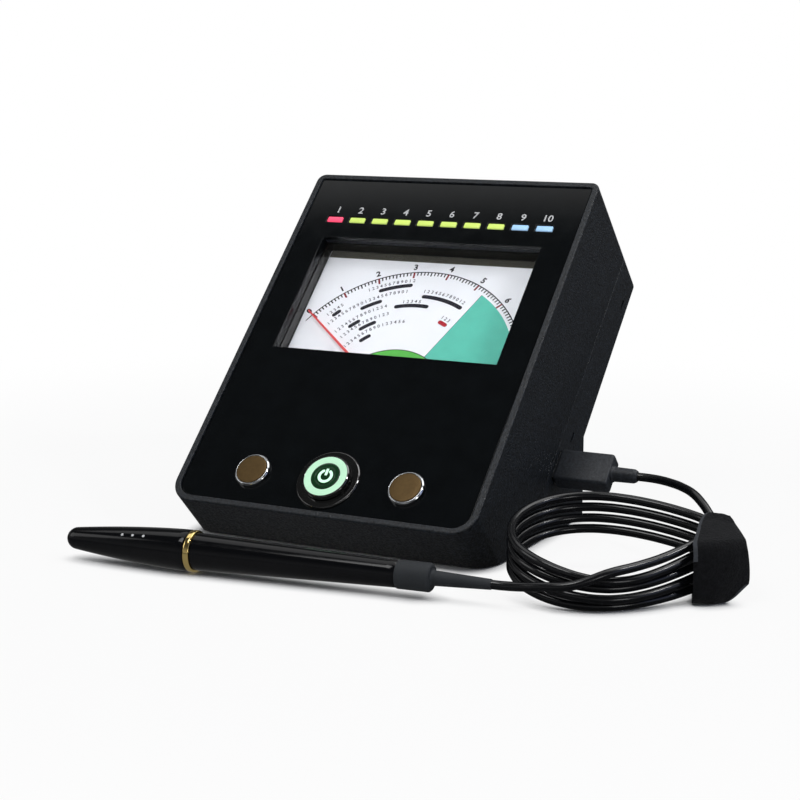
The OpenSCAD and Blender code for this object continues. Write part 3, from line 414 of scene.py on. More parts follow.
def dress(finish: Finish, *nodes: str) -> None:
    """Gives a finish to solids that are shown as they are.

    Args:
        finish: The finish.
        nodes: The nodes' names.
    """
    for node in nodes:
        materials = bpy.data.objects[node].data.materials
        materials.clear()
        materials.append(finish.material())
        log.info("%s: dressed in %s", node, finish.name)


def shaded(bm: bmesh.types.BMesh, name: str, smooth_deg: float) -> bpy.types.Mesh:
    """Turns a bmesh into a mesh that is smooth but for its sharp edges.

    Args:
        bm: The shape, which is freed.
        name: The mesh's name.
        smooth_deg: Edges sharper than this stay sharp.

    Returns:
        The mesh.
    """
    mesh = bpy.data.meshes.new(name)
    bm.to_mesh(mesh)
    bm.free()
    mesh.polygons.foreach_set("use_smooth", [True] * len(mesh.polygons))
    mesh.set_sharp_from_angle(angle=math.radians(smooth_deg))
    return mesh


def to_mesh(bm: bmesh.types.BMesh, name: str, place: Matrix, smooth_deg: float = 35.0) -> bpy.types.Mesh:
    """Turns a bmesh in millimetres into a closed mesh in the row frame, its faces outwards.

    Args:
        bm: The shape, which is freed.
        name: The mesh's name.
        place: From the shape's own frame, in metres, to the row frame.
        smooth_deg: Edges sharper than this stay sharp.

    Returns:
        The mesh.
    """
    bm.transform(place @ Matrix.Scale(MM, 4))
    bmesh.ops.remove_doubles(bm, verts=bm.verts, dist=JOINED * MM)
    bmesh.ops.recalc_face_normals(bm, faces=bm.faces)
    return shaded(bm, name, smooth_deg)


def freeze(holder: bpy.types.Object) -> bpy.types.Mesh:
    """Keeps what an object evaluates to as a plain mesh, and removes the object.

    Args:
        holder: The object.

    Returns:
        The mesh.
    """
    graph = bpy.context.evaluated_depsgraph_get()
    mesh = bpy.data.meshes.new_from_object(holder.evaluated_get(graph), depsgraph=graph)
    holder.modifiers.clear()
    bpy.data.objects.remove(holder)
    return mesh


def compress(node: str, finish: Finish, body: Body, way: Vector) -> None:
    """Puts a copy of a spring, which sits between the case and a moving piece, in the solid's place.

    Args:
        node: The spring's node.
        finish: Its finish.
        body: The moving piece's body.
        way: From the fixed end to the moving end; not used.
    """
    name = node + "_wire"
    bm = bmesh.new()
    bm.from_mesh(bpy.data.objects[node].data)
    bmesh.ops.remove_doubles(bm, verts=bm.verts, dist=SPRING_JOINED * MM)
    mesh = to_mesh(bm, name, Matrix.Scale(1 / MM, 4))
    mesh.materials.append(finish.material())
    wire = link(name, mesh)
    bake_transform(wire)
    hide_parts(node)
    log.info("%s: pressed by %s", node, body.value)


def lathe(profile: Sequence[Point2], segments: int) -> bmesh.types.BMesh:
    """Turns a profile round the Z axis.

    Args:
        profile: Radius and height pairs, in order along the surface. A radius of 0 closes a pole.
        segments: Steps round the axis.

    Returns:
        The shape, in the profile's own units.
    """
    bm = bmesh.new()
    rings: list[list[bmesh.types.BMVert]] = []
    for radius, height in profile:
        turns = [math.tau * k / segments for k in range(1 if radius <= 0 else segments)]
        rings.append([bm.verts.new((radius * math.cos(t), radius * math.sin(t), height)) for t in turns])
    for low, high in zip(rings, rings[1:]):
        for k in range(segments):
            loop = [ring[i % len(ring)] for ring, i in ((low, k), (low, k + 1), (high, k + 1), (high, k))]
            corners = list(dict.fromkeys(loop))
            if len(corners) > 2:
                bm.faces.new(corners)
    return bm


def rounded(points: Sequence[Point2], radius: float, steps: int) -> list[Point2]:
    """Rounds the inner corners of an open profile.

    Args:
        points: The profile's corners.
        radius: Radius of the rounding, cut back to under half of a side where a side is short.
        steps: Points on each rounding.

    Returns:
        The profile with its corners rounded.
    """
    out = [points[0]]
    for before, corner, after in zip(points, points[1:], points[2:]):
        a, b, c = Vector(before), Vector(corner), Vector(after)
        reach = min(radius, (a - b).length / SIDE_PARTS, (c - b).length / SIDE_PARTS)
        start, end = b + (a - b).normalized() * reach, b + (c - b).normalized() * reach
        for t in (k / steps for k in range(steps + 1)):
            out.append(tuple(start * (1 - t) ** 2 + b * 2 * t * (1 - t) + end * t ** 2))
    out.append(points[-1])
    return out


def rounded_box(size: Sequence[float], radius: float, segments: int) -> bmesh.types.BMesh:
    """Makes a box about the origin with rounded edges.

    Args:
        size: Width, depth and height.
        radius: Radius of the edges.
        segments: Steps round each edge.

    Returns:
        The box.
    """
    bm = bmesh.new()
    bmesh.ops.create_cube(bm, size=1.0)
    bmesh.ops.scale(bm, vec=size, verts=bm.verts)
    bmesh.ops.bevel(bm, geom=bm.edges[:], offset=radius, segments=segments, profile=0.5, affect="EDGES")
    return bm


@dataclass(frozen=True)
class Turning:
    """How a piece is turned: where, with what rounding of its corners, and how finely."""

    place: Matrix
    edge: Rounding | None = None
    segments: int = 128
    smooth_deg: float = 30.0

    def put(self, name: str, profile: Sequence[Point2], finish: Finish, body: Body, slot: str,
            *stands_for: str) -> bpy.types.Object:
        """Turns a profile and adds the piece.

        Args:
            name: The piece's name.
            profile: Radius and height pairs.
            finish: Its finish.
            body: The body it rides on.
            stands_for: The nodes that it replaces.

        Returns:
            The piece.
        """
        line = rounded(profile, *self.edge) if self.edge else profile
        mesh = to_mesh(lathe(line, self.segments), name, self.place, self.smooth_deg)
        return put(name, mesh, finish, body, stands_for)


@dataclass(frozen=True)
class FrontFace:
    """The leaning front face: x to the right, s up the face, h out of it."""

    angle_deg: float = 44.4
    edge_y: float = -64.039
    edge_z: float = 18.0

    def at(self, x: float, s: float, h: float) -> Matrix:
        """Gives a place on the face.

        Args:
            x: Distance to the right of the middle.
            s: Distance up the face.
            h: Height above the rim.

        Returns:
            The matrix from that place's own frame to the row frame, in metres.
        """
        edge = Matrix.Translation((0, self.edge_y * MM, self.edge_z * MM))
        lean = Matrix.Rotation(math.radians(self.angle_deg), 4, "X")
        return edge @ lean @ Matrix.Translation((x * MM, s * MM, h * MM))

    def normal(self) -> Vector:
        """Gives the direction out of the face."""
        return self.at(0, 0, 0).col[2].to_3d()


FACE = FrontFace()


def at_level(level: float, where: Callable[[Vector], bool] | None = None) -> EdgeTest:
    """Gives a test for the edges at a height over the front face.

    Args:
        level: The height.
        where: A test that both ends have to pass too.

    Returns:
        The test.
    """
    def chosen(a: Vector, b: Vector) -> bool:
        """Tests an edge by its two ends."""
        return all(abs(p.z - level) < ON_LEVEL and (where is None or where(p)) for p in (a, b))

    return chosen


class SoftEdges:
    """A copy of a solid whose chosen edges are rounded, as a moulding's are."""

    merge: float = 0.002
    flat_deg: float = 0.6
    sharp_deg: float = 40.0
    smooth_deg: float = 50.0

    def __init__(self, node: str) -> None:
        """Copies the solid, joins its triangles and clears the flat ones.

        Args:
            node: The node's name.
        """
        self.node = node
        self.bm = bmesh.new()
        self.bm.from_mesh(bpy.data.objects[node].data)
        bmesh.ops.remove_doubles(self.bm, verts=self.bm.verts, dist=self.merge * MM)
        bmesh.ops.dissolve_limit(self.bm, angle_limit=math.radians(self.flat_deg), verts=self.bm.verts,
                                 edges=self.bm.edges)
        self.to_face = FACE.at(0, 0, 0).inverted()

    def round(self, radius: float, segments: int, chosen: EdgeTest | None = None) -> "SoftEdges":
        """Rounds the sharp edges, or those of them that a test picks.

        Args:
            radius: Radius in millimetres.
            segments: Steps round the edge.
            chosen: Takes an edge's two ends on the front face, in millimetres, and picks it or not.

        Returns:
            This copy.
        """
        picked = []
        for edge in self.bm.edges:
            if len(edge.link_faces) != 2 or edge.calc_face_angle(0.0) < math.radians(self.sharp_deg):
                continue
            if chosen is None or chosen(*(self.to_face @ v.co / MM for v in edge.verts)):
                picked.append(edge)
        bmesh.ops.bevel(self.bm, geom=picked, offset=radius * MM, segments=segments, profile=0.5,
                        affect="EDGES", clamp_overlap=False)
        return self

    def finish(self, name: str, finish: Finish, slot: str) -> bpy.types.Object:
        """Puts the copy in the solid's place, on the case.

        Args:
            name: The piece's name.
            finish: Its finish.
            slot: The record's material slot; not used.

        Returns:
            The piece.
        """
        mesh = shaded(self.bm, name, self.smooth_deg)
        piece = put(name, mesh, finish, Body.CASE, (self.node,))
        weigh = piece.modifiers.new("weighted_normals", "WEIGHTED_NORMAL")
        weigh.keep_sharp = True
        weigh.weight = 100
        return piece


class Pattern:
    """Geometry Nodes that repeat a prototype along a line, round an arc or on given points."""

    def __init__(self, name: str, **inputs: str) -> None:
        """Starts a tree with its geometry sockets and named inputs.

        Args:
            name: The tree's name.
            inputs: Input name to the last word of its socket type.
        """
        self.tree = bpy.data.node_groups.new(name, "GeometryNodeTree")
        self.sockets: dict[str, str] = {}
        for way in ("INPUT", "OUTPUT"):
            self.tree.interface.new_socket("Geometry", in_out=way, socket_type="NodeSocketGeometry")
        for key, kind in {**inputs, "Material": "Material"}.items():
            socket = self.tree.interface.new_socket(key, in_out="INPUT", socket_type="NodeSocket" + kind)
            self.sockets[key] = socket.identifier
        self.given = self.tree.nodes.new("NodeGroupInput").outputs

    def end(self, instances: bpy.types.NodeSocket) -> "Pattern":
        """Makes the instances real, gives them their material and ends the tree.

        Args:
            instances: The instances.

        Returns:
            This pattern.
        """
        real = add(self.tree, "GeometryNodeRealizeInstances", {"Geometry": instances})
        dressed = add(self.tree, "GeometryNodeSetMaterial", {
            "Geometry": real.outputs["Geometry"], "Material": self.given["Material"]})
        add(self.tree, "NodeGroupOutput", {"Geometry": dressed.outputs["Geometry"]})
        return self

    def run(self, name: str, finish: Finish, values: dict,
            start: bpy.types.Mesh | None = None) -> bpy.types.Mesh:
        """Runs the tree once and keeps the result as a plain mesh.

        Args:
            name: The mesh's name.
            finish: The copies' finish.
            values: Input name to value.
            start: The mesh that the tree starts from, if it needs one.

        Returns:
            The mesh.
        """
        holder = link(name + "_holder", start or bpy.data.meshes.new(name + "_start"))
        modifier = holder.modifiers.new("pattern", "NODES")
        modifier.node_group = self.tree
        for key, value in {**values, "Material": finish.material()}.items():
            modifier[self.sockets[key]] = value
        mesh = freeze(holder)
        mesh.name = name
        return mesh


def arc_pattern() -> Pattern:
    """Makes the tree of scale marks: flat strokes at even steps round an arc.

    Returns:
        The pattern.
    """
    pattern = Pattern("scale_marks", Count="Int", First="Float", Step="Float", Radius="Float",
                      Stroke="Vector")
    tree, given = pattern.tree, pattern.given
    points = add(tree, "GeometryNodePoints", {"Count": given["Count"]})
    index = add(tree, "GeometryNodeInputIndex")
    angle = add(tree, "ShaderNodeMath", {
        0: index.outputs["Index"], 1: given["Step"], 2: given["First"]}, operation="MULTIPLY_ADD")
    sine = add(tree, "ShaderNodeMath", {0: angle.outputs["Value"]}, operation="SINE")
    cosine = add(tree, "ShaderNodeMath", {0: angle.outputs["Value"]}, operation="COSINE")
    along = add(tree, "ShaderNodeCombineXYZ", {"X": sine.outputs["Value"], "Y": cosine.outputs["Value"]})
    where = add(tree, "ShaderNodeVectorMath", {
        0: along.outputs["Vector"], "Scale": given["Radius"]}, operation="SCALE")
    moved = add(tree, "GeometryNodeSetPosition", {
        "Geometry": points.outputs["Points"], "Position": where.outputs["Vector"]})
    back = add(tree, "ShaderNodeMath", {0: angle.outputs["Value"], 1: -1.0}, operation="MULTIPLY")
    spin = add(tree, "ShaderNodeCombineXYZ", {"Z": back.outputs["Value"]})
    stroke = add(tree, "GeometryNodeMeshCube", {"Size": given["Stroke"]})
    copies = add(tree, "GeometryNodeInstanceOnPoints", {
        "Points": moved.outputs["Geometry"], "Instance": stroke.outputs["Mesh"],
        "Rotation": spin.outputs["Vector"]})
    return pattern.end(copies.outputs["Instances"])


def row_pattern() -> Pattern:
    """Makes the tree of a straight row of copies of a prototype.

    Returns:
        The pattern.
    """
    pattern = Pattern("straight_row", Count="Int", First="Vector", Pitch="Vector", Prototype="Object")
    tree, given = pattern.tree, pattern.given
    line = add(tree, "GeometryNodeMeshLine", {
        "Count": given["Count"], "Start Location": given["First"], "Offset": given["Pitch"]})
    shape = add(tree, "GeometryNodeObjectInfo", {"Object": given["Prototype"]})
    copies = add(tree, "GeometryNodeInstanceOnPoints", {
        "Points": line.outputs["Mesh"], "Instance": shape.outputs["Geometry"]})
    return pattern.end(copies.outputs["Instances"])


def spot_pattern() -> Pattern:
    """Makes the tree that sets a prototype on each vertex of the mesh it starts from.

    Returns:
        The pattern.
    """
    pattern = Pattern("set_on_spots", Prototype="Object", Turn="Vector")
    tree, given = pattern.tree, pattern.given
    shape = add(tree, "GeometryNodeObjectInfo", {"Object": given["Prototype"]})
    copies = add(tree, "GeometryNodeInstanceOnPoints", {
        "Points": given["Geometry"], "Instance": shape.outputs["Geometry"], "Rotation": given["Turn"]})
    return pattern.end(copies.outputs["Instances"])


class Prototype:
    """A shape that a pattern copies, removed when the copies are made."""

    def __init__(self, bm: bmesh.types.BMesh) -> None:
        """Keeps the shape, given in millimetres, as an object in metres."""
        self.object = link("prototype", to_mesh(bm, "prototype", Matrix.Identity(4)))

    def __enter__(self) -> bpy.types.Object:
        """Gives the object."""
        return self.object

    def __exit__(self, *_: object) -> None:
        """Removes the object."""
        bpy.data.objects.remove(self.object)


class Print:
    """Ink on a flat surface: strokes, bars, zones and numbers, as one thin mesh in one colour."""

    em_per_height: float = 1.4
    curve_steps: int = 3
    end_steps: int = 8

    def __init__(self, name: str, finish: Finish, thickness: float = 0.02, boldness: float = 0.02) -> None:
        """Starts an empty print.

        Args:
            name: The piece's name.
            finish: The ink.
            thickness: Thickness of the ink.
            boldness: Share of the digits' height that thickens their strokes.
        """
        self.name, self.finish, self.thickness, self.boldness = name, finish, thickness, boldness
        self.bm = bmesh.new()

    def zone(self, outline: Sequence[Point2]) -> None:
        """Fills an outline.

        Args:
            outline: Points round the zone.
        """
        face = self.bm.faces.new([self.bm.verts.new((x, y, 0)) for x, y in outline])
        raised = bmesh.ops.extrude_face_region(self.bm, geom=[face])
        top = [g for g in raised["geom"] if isinstance(g, bmesh.types.BMVert)]
        bmesh.ops.translate(self.bm, vec=(0, 0, self.thickness), verts=top)

    def bar(self, radius: float, ends_deg: Point2, width: float, steps: int = 24) -> None:
        """Prints a bar that follows an arc, with round ends.

        Args:
            radius: Radius of its middle.
            ends_deg: Angles of its two ends, to the right of straight up.
            width: Width of the bar.
            steps: Points along the arc.
        """
        def end(angle: float, turn: float) -> list[Vector]:
            """Gives the points round one end."""
            turns = [angle + turn + math.pi * k / self.end_steps for k in range(1, self.end_steps)]
            return [polar(angle, radius) + polar(t, width / 2) for t in turns]

        first, last = map(math.radians, ends_deg)
        span = [first + (last - first) * k / steps for k in range(steps + 1)]
        outer = [polar(a, radius + width / 2) for a in span]
        inner = [polar(a, radius - width / 2) for a in reversed(span)]
        self.zone(outer + end(last, 0) + inner + end(first, math.pi))

    def number(self, text: str, height: float, place: Matrix) -> None:
        """Prints digits.

        Args:
            text: The digits.
            height: Height of the digits.
            place: Where their middle goes, in millimetres.
        """
        curve = bpy.data.curves.new("digits", "FONT")
        curve.body = text
        curve.align_x, curve.align_y = "CENTER", "CENTER"
        curve.size = height * self.em_per_height
        curve.extrude = self.thickness / 2
        curve.offset = height * self.boldness
        curve.resolution_u = self.curve_steps
        mesh = freeze(link("digits", curve))
        mesh.transform(place @ Matrix.Translation((0, 0, self.thickness / 2)))
        self.bm.from_mesh(mesh)
        bpy.data.meshes.remove(mesh)

    def arc_number(self, text: str, height: float, radius: float, angle_deg: float) -> None:
        """Prints digits that stand on an arc.

        Args:
            text: The digits.
            height: Their height.
            radius: Radius of their middle.
            angle_deg: Their angle, to the right of straight up.
        """
        turn = Matrix.Rotation(-math.radians(angle_deg), 4, "Z")
        self.number(text, height, turn @ Matrix.Translation((0, radius, 0)))

    def finish_on(self, place: Matrix, body: Body = Body.CASE, slot: str = "dial_paint") -> None:
        """Puts the print on its surface.

        Args:
            place: From the print's frame to the row frame.
            body: The body it rides on.
            slot: The record's material slot; not used.
        """
        put(self.name, to_mesh(self.bm, self.name, place), self.finish, body)


@dataclass(frozen=True)
class SoftLamp:
    """A square lamp with a soft light. Its places and its side are in metres."""

    name: str
    place: Point3
    target: Point3
    side: float
    watts: float
    colour: str = "#ffffff"

    def build(self) -> None:
        """Hangs the lamp and turns it to its target."""
        data = bpy.data.lights.new(self.name, "AREA")
        data.shape = "SQUARE"
        data.size = self.side
        data.energy = self.watts
        data.color = linear(self.colour)[:3]
        lamp = link(self.name, data)
        lamp.location = self.place
        way = Vector(self.target) - Vector(self.place)
        lamp.rotation_euler = way.to_track_quat("-Z", "Y").to_euler()


@dataclass
class Studio:
    """Camera, soft lights and a pale floor.

    Lengths are in metres where the name doesn't end in mm. The world's heights and edges are parts of a
    direction, and its levels and the floor's are strengths of light.
    """

    camera_mm: Point3 = (347.6, -660.5, 193.7)
    azimuth_deg: float = 27.36
    elevation_deg: float = 10.6
    lens_mm: float = 81.05
    sensor_mm: float = 36.0
    clip: Point2 = (0.01, 50.0)
    floor_half: float = 6.0
    floor_drop_mm: float = 0.05
    floor_colour: str = "#f4f4f4"
    floor_roughness: float = 0.9
    floor_specular: float = 0.1
    # How white the eye sees the floor: near the object, far from it, and where something stands close
    floor_lift: float = 0.9
    shadow_reach: Point2 = (0.2, 0.5)
    shade_reach: float = 0.008
    shade_span: Point2 = (0.35, 0.9)
    # What a mirror sees of the floor: dim, with a brighter sheet in front of the case
    mirrored_floor: float = 0.05
    mirrored_sheet: float = 0.24
    sheet_place: Point3 = (-0.02, -0.18, 0.0)
    sheet_reach: Point2 = (0.05, 0.17)
    # What a mirror sees of the world: dimmer to the top, with a bright field overhead and behind
    glow_heights: Point2 = (0.1, 0.6)
    glow_levels: Point2 = (0.28, 0.06)
    field_edge: Point2 = (-0.075, -0.035)
    field_height: float = 0.75
    fill_colour: str = "#f2f5fa"
    fill_light: float = 0.24
    lamps: tuple[SoftLamp, ...] = (
        SoftLamp("front_softbox", (-0.12, -0.55, 1.15), (0.02, 0.0, 0.05), 0.5, 3.95),
        SoftLamp("overhead_softbox", (0.45, 0.55, 1.15), (0.02, 0.0, 0.05), 0.8, 3.6),
        SoftLamp("left_softbox", (-1.2, -0.75, 0.75), (0.0, 0.0, 0.06), 0.7, 2.6),
        SoftLamp("right_fill", (1.2, -0.1, 0.45), (0.0, 0.0, 0.08), 0.6, 0.6, "#b4c8ff"),
        SoftLamp("edge_kicker", (1.0, 0.0, 0.95), (0.05, 0.0, 0.07), 0.15, 2.6),
        SoftLamp("chrome_kicker", (1.0, -0.7, 0.16), (0.02, -0.05, 0.04), 0.25, 0.8))

    def build(self) -> None:
        """Makes the camera, the floor, the world and the lamps."""
        bpy.context.scene.view_settings.view_transform = "Standard"
        self.camera()
        self.floor()
        self.world()
        for lamp in self.lamps:
            lamp.build()

    def camera(self) -> None:
        """Makes the camera at the photograph's viewing angle."""
        data = bpy.data.cameras.new("camera")
        data.sensor_width = self.sensor_mm
        data.lens = self.lens_mm
        data.clip_start, data.clip_end = self.clip
        camera = link("camera", data)
        camera.location = Vector(self.camera_mm) * MM
        camera.rotation_euler = (math.radians(90 - self.elevation_deg), 0, math.radians(self.azimuth_deg))
        bpy.context.scene.camera = camera

    def floor(self) -> None:
        """Makes the pale floor, which keeps the object's shadow."""
        bm = bmesh.new()
        bmesh.ops.create_grid(bm, x_segments=1, y_segments=1, size=self.floor_half)
        mesh = bpy.data.meshes.new("floor")
        bm.to_mesh(mesh)
        bm.free()
        floor = link("floor", mesh)
        floor.location.z = -self.floor_drop_mm * MM
        material = bpy.data.materials.new("pale_floor")
        material.use_nodes = True
        mesh.materials.append(material)
        tree = material.node_tree
        shader = tree.nodes["Principled BSDF"]
        shader.inputs["Base Color"].default_value = linear(self.floor_colour)
        shader.inputs["Roughness"].default_value = self.floor_roughness
        shader.inputs["Specular IOR Level"].default_value = self.floor_specular
        path = add(tree, "ShaderNodeLightPath")
        place = add(tree, "ShaderNodeTexCoord").outputs["Object"]
        reach = add(tree, "ShaderNodeVectorMath", {0: place}, operation="LENGTH")
        far = add(tree, "ShaderNodeMapRange", {
            "Value": reach.outputs["Value"], "From Min": self.shadow_reach[0],
            "From Max": self.shadow_reach[1], "To Min": self.floor_lift,
            "To Max": 1.0}, interpolation_type="SMOOTHSTEP")
        close = add(tree, "ShaderNodeAmbientOcclusion", {"Distance": self.shade_reach})
        clear = add(tree, "ShaderNodeMapRange", {
            "Value": close.outputs["AO"], "From Min": self.shade_span[0], "From Max": self.shade_span[1]})
        lift = add(tree, "ShaderNodeMath", {
            0: far.outputs["Result"], 1: clear.outputs["Result"]}, operation="MULTIPLY")
        share = add(tree, "ShaderNodeMath", {
            0: path.outputs["Is Camera Ray"], 1: lift.outputs["Value"]}, operation="MULTIPLY")
        white = add(tree, "ShaderNodeEmission", {"Color": WHITE, "Strength": 1.0})
        shown = add(tree, "ShaderNodeMixShader", {
            0: share.outputs["Value"], 1: shader.outputs["BSDF"], 2: white.outputs["Emission"]})
        sheet = add(tree, "ShaderNodeVectorMath", {0: place, 1: self.sheet_place}, operation="DISTANCE")
        bright = add(tree, "ShaderNodeMapRange", {
            "Value": sheet.outputs["Value"], "From Min": self.sheet_reach[0],
            "From Max": self.sheet_reach[1], "To Min": self.mirrored_sheet,
            "To Max": self.mirrored_floor}, interpolation_type="SMOOTHSTEP")
        dim = add(tree, "ShaderNodeEmission", {"Color": WHITE, "Strength": bright.outputs["Result"]})
        mixed = add(tree, "ShaderNodeMixShader", {
            0: path.outputs["Is Glossy Ray"], 1: shown.outputs["Shader"], 2: dim.outputs["Emission"]})
        tree.links.new(mixed.outputs["Shader"], tree.nodes["Material Output"].inputs["Surface"])

    def world(self) -> None:
        """Makes the world: white to the eye, a soft field in reflections, and a plain fill of light."""
        world = bpy.data.worlds.new("studio")
        bpy.context.scene.world = world
        world.use_nodes = True
        tree = world.node_tree
        tree.nodes.clear()
        path = add(tree, "ShaderNodeLightPath")
        way = add(tree, "ShaderNodeTexCoord").outputs["Generated"]
        split = add(tree, "ShaderNodeSeparateXYZ", {"Vector": way})
        glow = add(tree, "ShaderNodeMapRange", {
            "Value": split.outputs["Z"], "From Min": self.glow_heights[0], "From Max": self.glow_heights[1],
            "To Min": self.glow_levels[0], "To Max": self.glow_levels[1]}, interpolation_type="SMOOTHSTEP")
        edge = add(tree, "ShaderNodeMapRange", {
            "Value": split.outputs["Y"], "From Min": self.field_edge[0], "From Max": self.field_edge[1],
            "To Min": 0.0, "To Max": 1.0}, interpolation_type="SMOOTHSTEP")
        above = add(tree, "ShaderNodeMath", {
            0: split.outputs["Z"], 1: self.field_height}, operation="GREATER_THAN")
        soft = add(tree, "ShaderNodeMath", {
            0: above.outputs["Value"], 1: edge.outputs["Result"], 2: glow.outputs["Result"]},
            operation="MULTIPLY_ADD")
        mirrored = add(tree, "ShaderNodeBackground", {"Color": WHITE, "Strength": soft.outputs["Value"]})
        fill = add(tree, "ShaderNodeBackground", {
            "Color": linear(self.fill_colour), "Strength": self.fill_light})
        lit = add(tree, "ShaderNodeMixShader", {
            0: path.outputs["Is Glossy Ray"], 1: fill.outputs["Background"],
            2: mirrored.outputs["Background"]})
        white = add(tree, "ShaderNodeBackground", {"Color": WHITE, "Strength": 1.0})
        direct = add(tree, "ShaderNodeMath", {
            0: path.outputs["Diffuse Depth"], 1: 1.0}, operation="LESS_THAN")
        seen = add(tree, "ShaderNodeMath", {
            0: path.outputs["Is Transmission Ray"], 1: direct.outputs["Value"],
            2: path.outputs["Is Camera Ray"]}, operation="MULTIPLY_ADD")
        mixed = add(tree, "ShaderNodeMixShader", {
            0: seen.outputs["Value"], 1: lit.outputs["Shader"], 2: white.outputs["Background"]})
        add(tree, "ShaderNodeOutputWorld", {"Surface": mixed.outputs["Shader"]})


@dataclass
class CordCoil:
    """The coil's own formula: loops that pinch at the strap and rise to the back."""

    centre: Point2 = (120.0, -48.0)
    turn_deg: float = 27.4
    half_length: float = 38.0
    half_width: float = 30.5
    rise: float = 14.5
    step: float = 4.3
    lean_deg: float = 40.0
    pinch: float = 0.5
    loops: int = 4
    first_deg: float = 315.0
    top_deg: float = 270.0
    steps: int = 32

    def table(self, along: float, across: float, height: float) -> Vector:
        """Takes a place from the coil's axes to the row frame.

        Args:
            along: Distance along the coil.
            across: Distance across it.
            height: Height over the table.

        Returns:
            The place, in millimetres.
        """
        turn = math.radians(self.turn_deg)
        return Vector((self.centre[0] + along * math.cos(turn) - across * math.sin(turn),
                       self.centre[1] + along * math.sin(turn) + across * math.cos(turn), height))

    def narrow(self, share: float) -> float:
        """Gives the share of the width that the pinch leaves at a share of the half length."""
        return 1 - self.pinch * ((1 + share) / 2) ** 2

    def half_at(self, along: float) -> float:
        """Gives half the width of the loops at a distance along the coil, 0 past the loops' end."""
        share = min(1.0, along / self.half_length)
        return self.half_width * self.narrow(share) * math.sqrt(1 - share ** 2)

    def point(self, angle_deg: float, radius: float) -> Vector:
        """Gives a place on the coil.

        Args:
            angle_deg: Turn along the loops.
            radius: Radius of the cord.

        Returns:
            The place, in millimetres.
        """
        angle = math.radians(angle_deg)
        left = (self.top_deg + 360 * self.loops - angle_deg) / 360
        lean = math.radians(self.lean_deg) * max(0.0, -math.sin(angle)) ** 3
        across = self.half_width * self.narrow(math.cos(angle)) * math.sin(angle)
        stagger = self.step * math.sin(lean) / 2 * math.cos(math.pi * left)
        climb = self.rise * (across / self.half_width + 1 - self.pinch / 4) / 2
        height = radius + climb + self.step * math.cos(lean) * left
        return self.table(self.half_length * math.cos(angle), across + stagger, height)

    def points(self, radius: float) -> list[Vector]:
        """Gives the places along the whole coil, for a cord of a radius."""
        count = self.steps * self.loops
        return [self.point(self.first_deg + 360 * k / self.steps, radius) for k in range(count + 1)]


@dataclass
class Plug:
    """The plug's moulded grip with its round strain relief."""

    s: float = 67.7
    depth: float = 53.0
    size: Point3 = (24.0, 15.2, 8.0)
    start: float = 69.3
    edge: Rounding = (1.5, 5)
    # Radius, and distance from the grip's end or from the relief's own end
    relief_foot: tuple[Point2, ...] = ((0, -1), (3.5, -1), (3.5, 0.5), (3.1, 0.9))
    relief_length: float = 10.7
    relief_end: tuple[Point2, ...] = ((2.95, -1.2), (2.3, 0), (1.8, 0.25), (0, 0.25))
    relief_edge: Rounding = (0.45, 4)
    relief_segments: int = 48
    smooth_deg: float = 40.0

    def build(self) -> bpy.types.Object:
        """Makes the grip and the relief as one moulding.

        Returns:
            The piece.
        """
        length = self.size[0]
        bm = rounded_box(self.size, *self.edge)
        bmesh.ops.translate(bm, vec=(self.start + length / 2, 0, 0), verts=bm.verts)
        profile = [*self.relief_foot, *((r, z + self.relief_length) for r, z in self.relief_end)]
        relief = lathe(rounded(profile, *self.relief_edge), self.relief_segments)
        turn = Matrix.Rotation(math.pi / 2, 4, "Y")
        relief.transform(Matrix.Translation((self.start + length, 0, 0)) @ turn)
        part = bpy.data.meshes.new("relief")
        relief.to_mesh(part)
        relief.free()
        bm.from_mesh(part)
        bpy.data.meshes.remove(part)
        mesh = to_mesh(bm, "plug_grip", FACE.at(0, self.s, -self.depth), self.smooth_deg)
        return put("plug_grip", mesh, PLUG_PVC, Body.CASE, ("plug_body",))


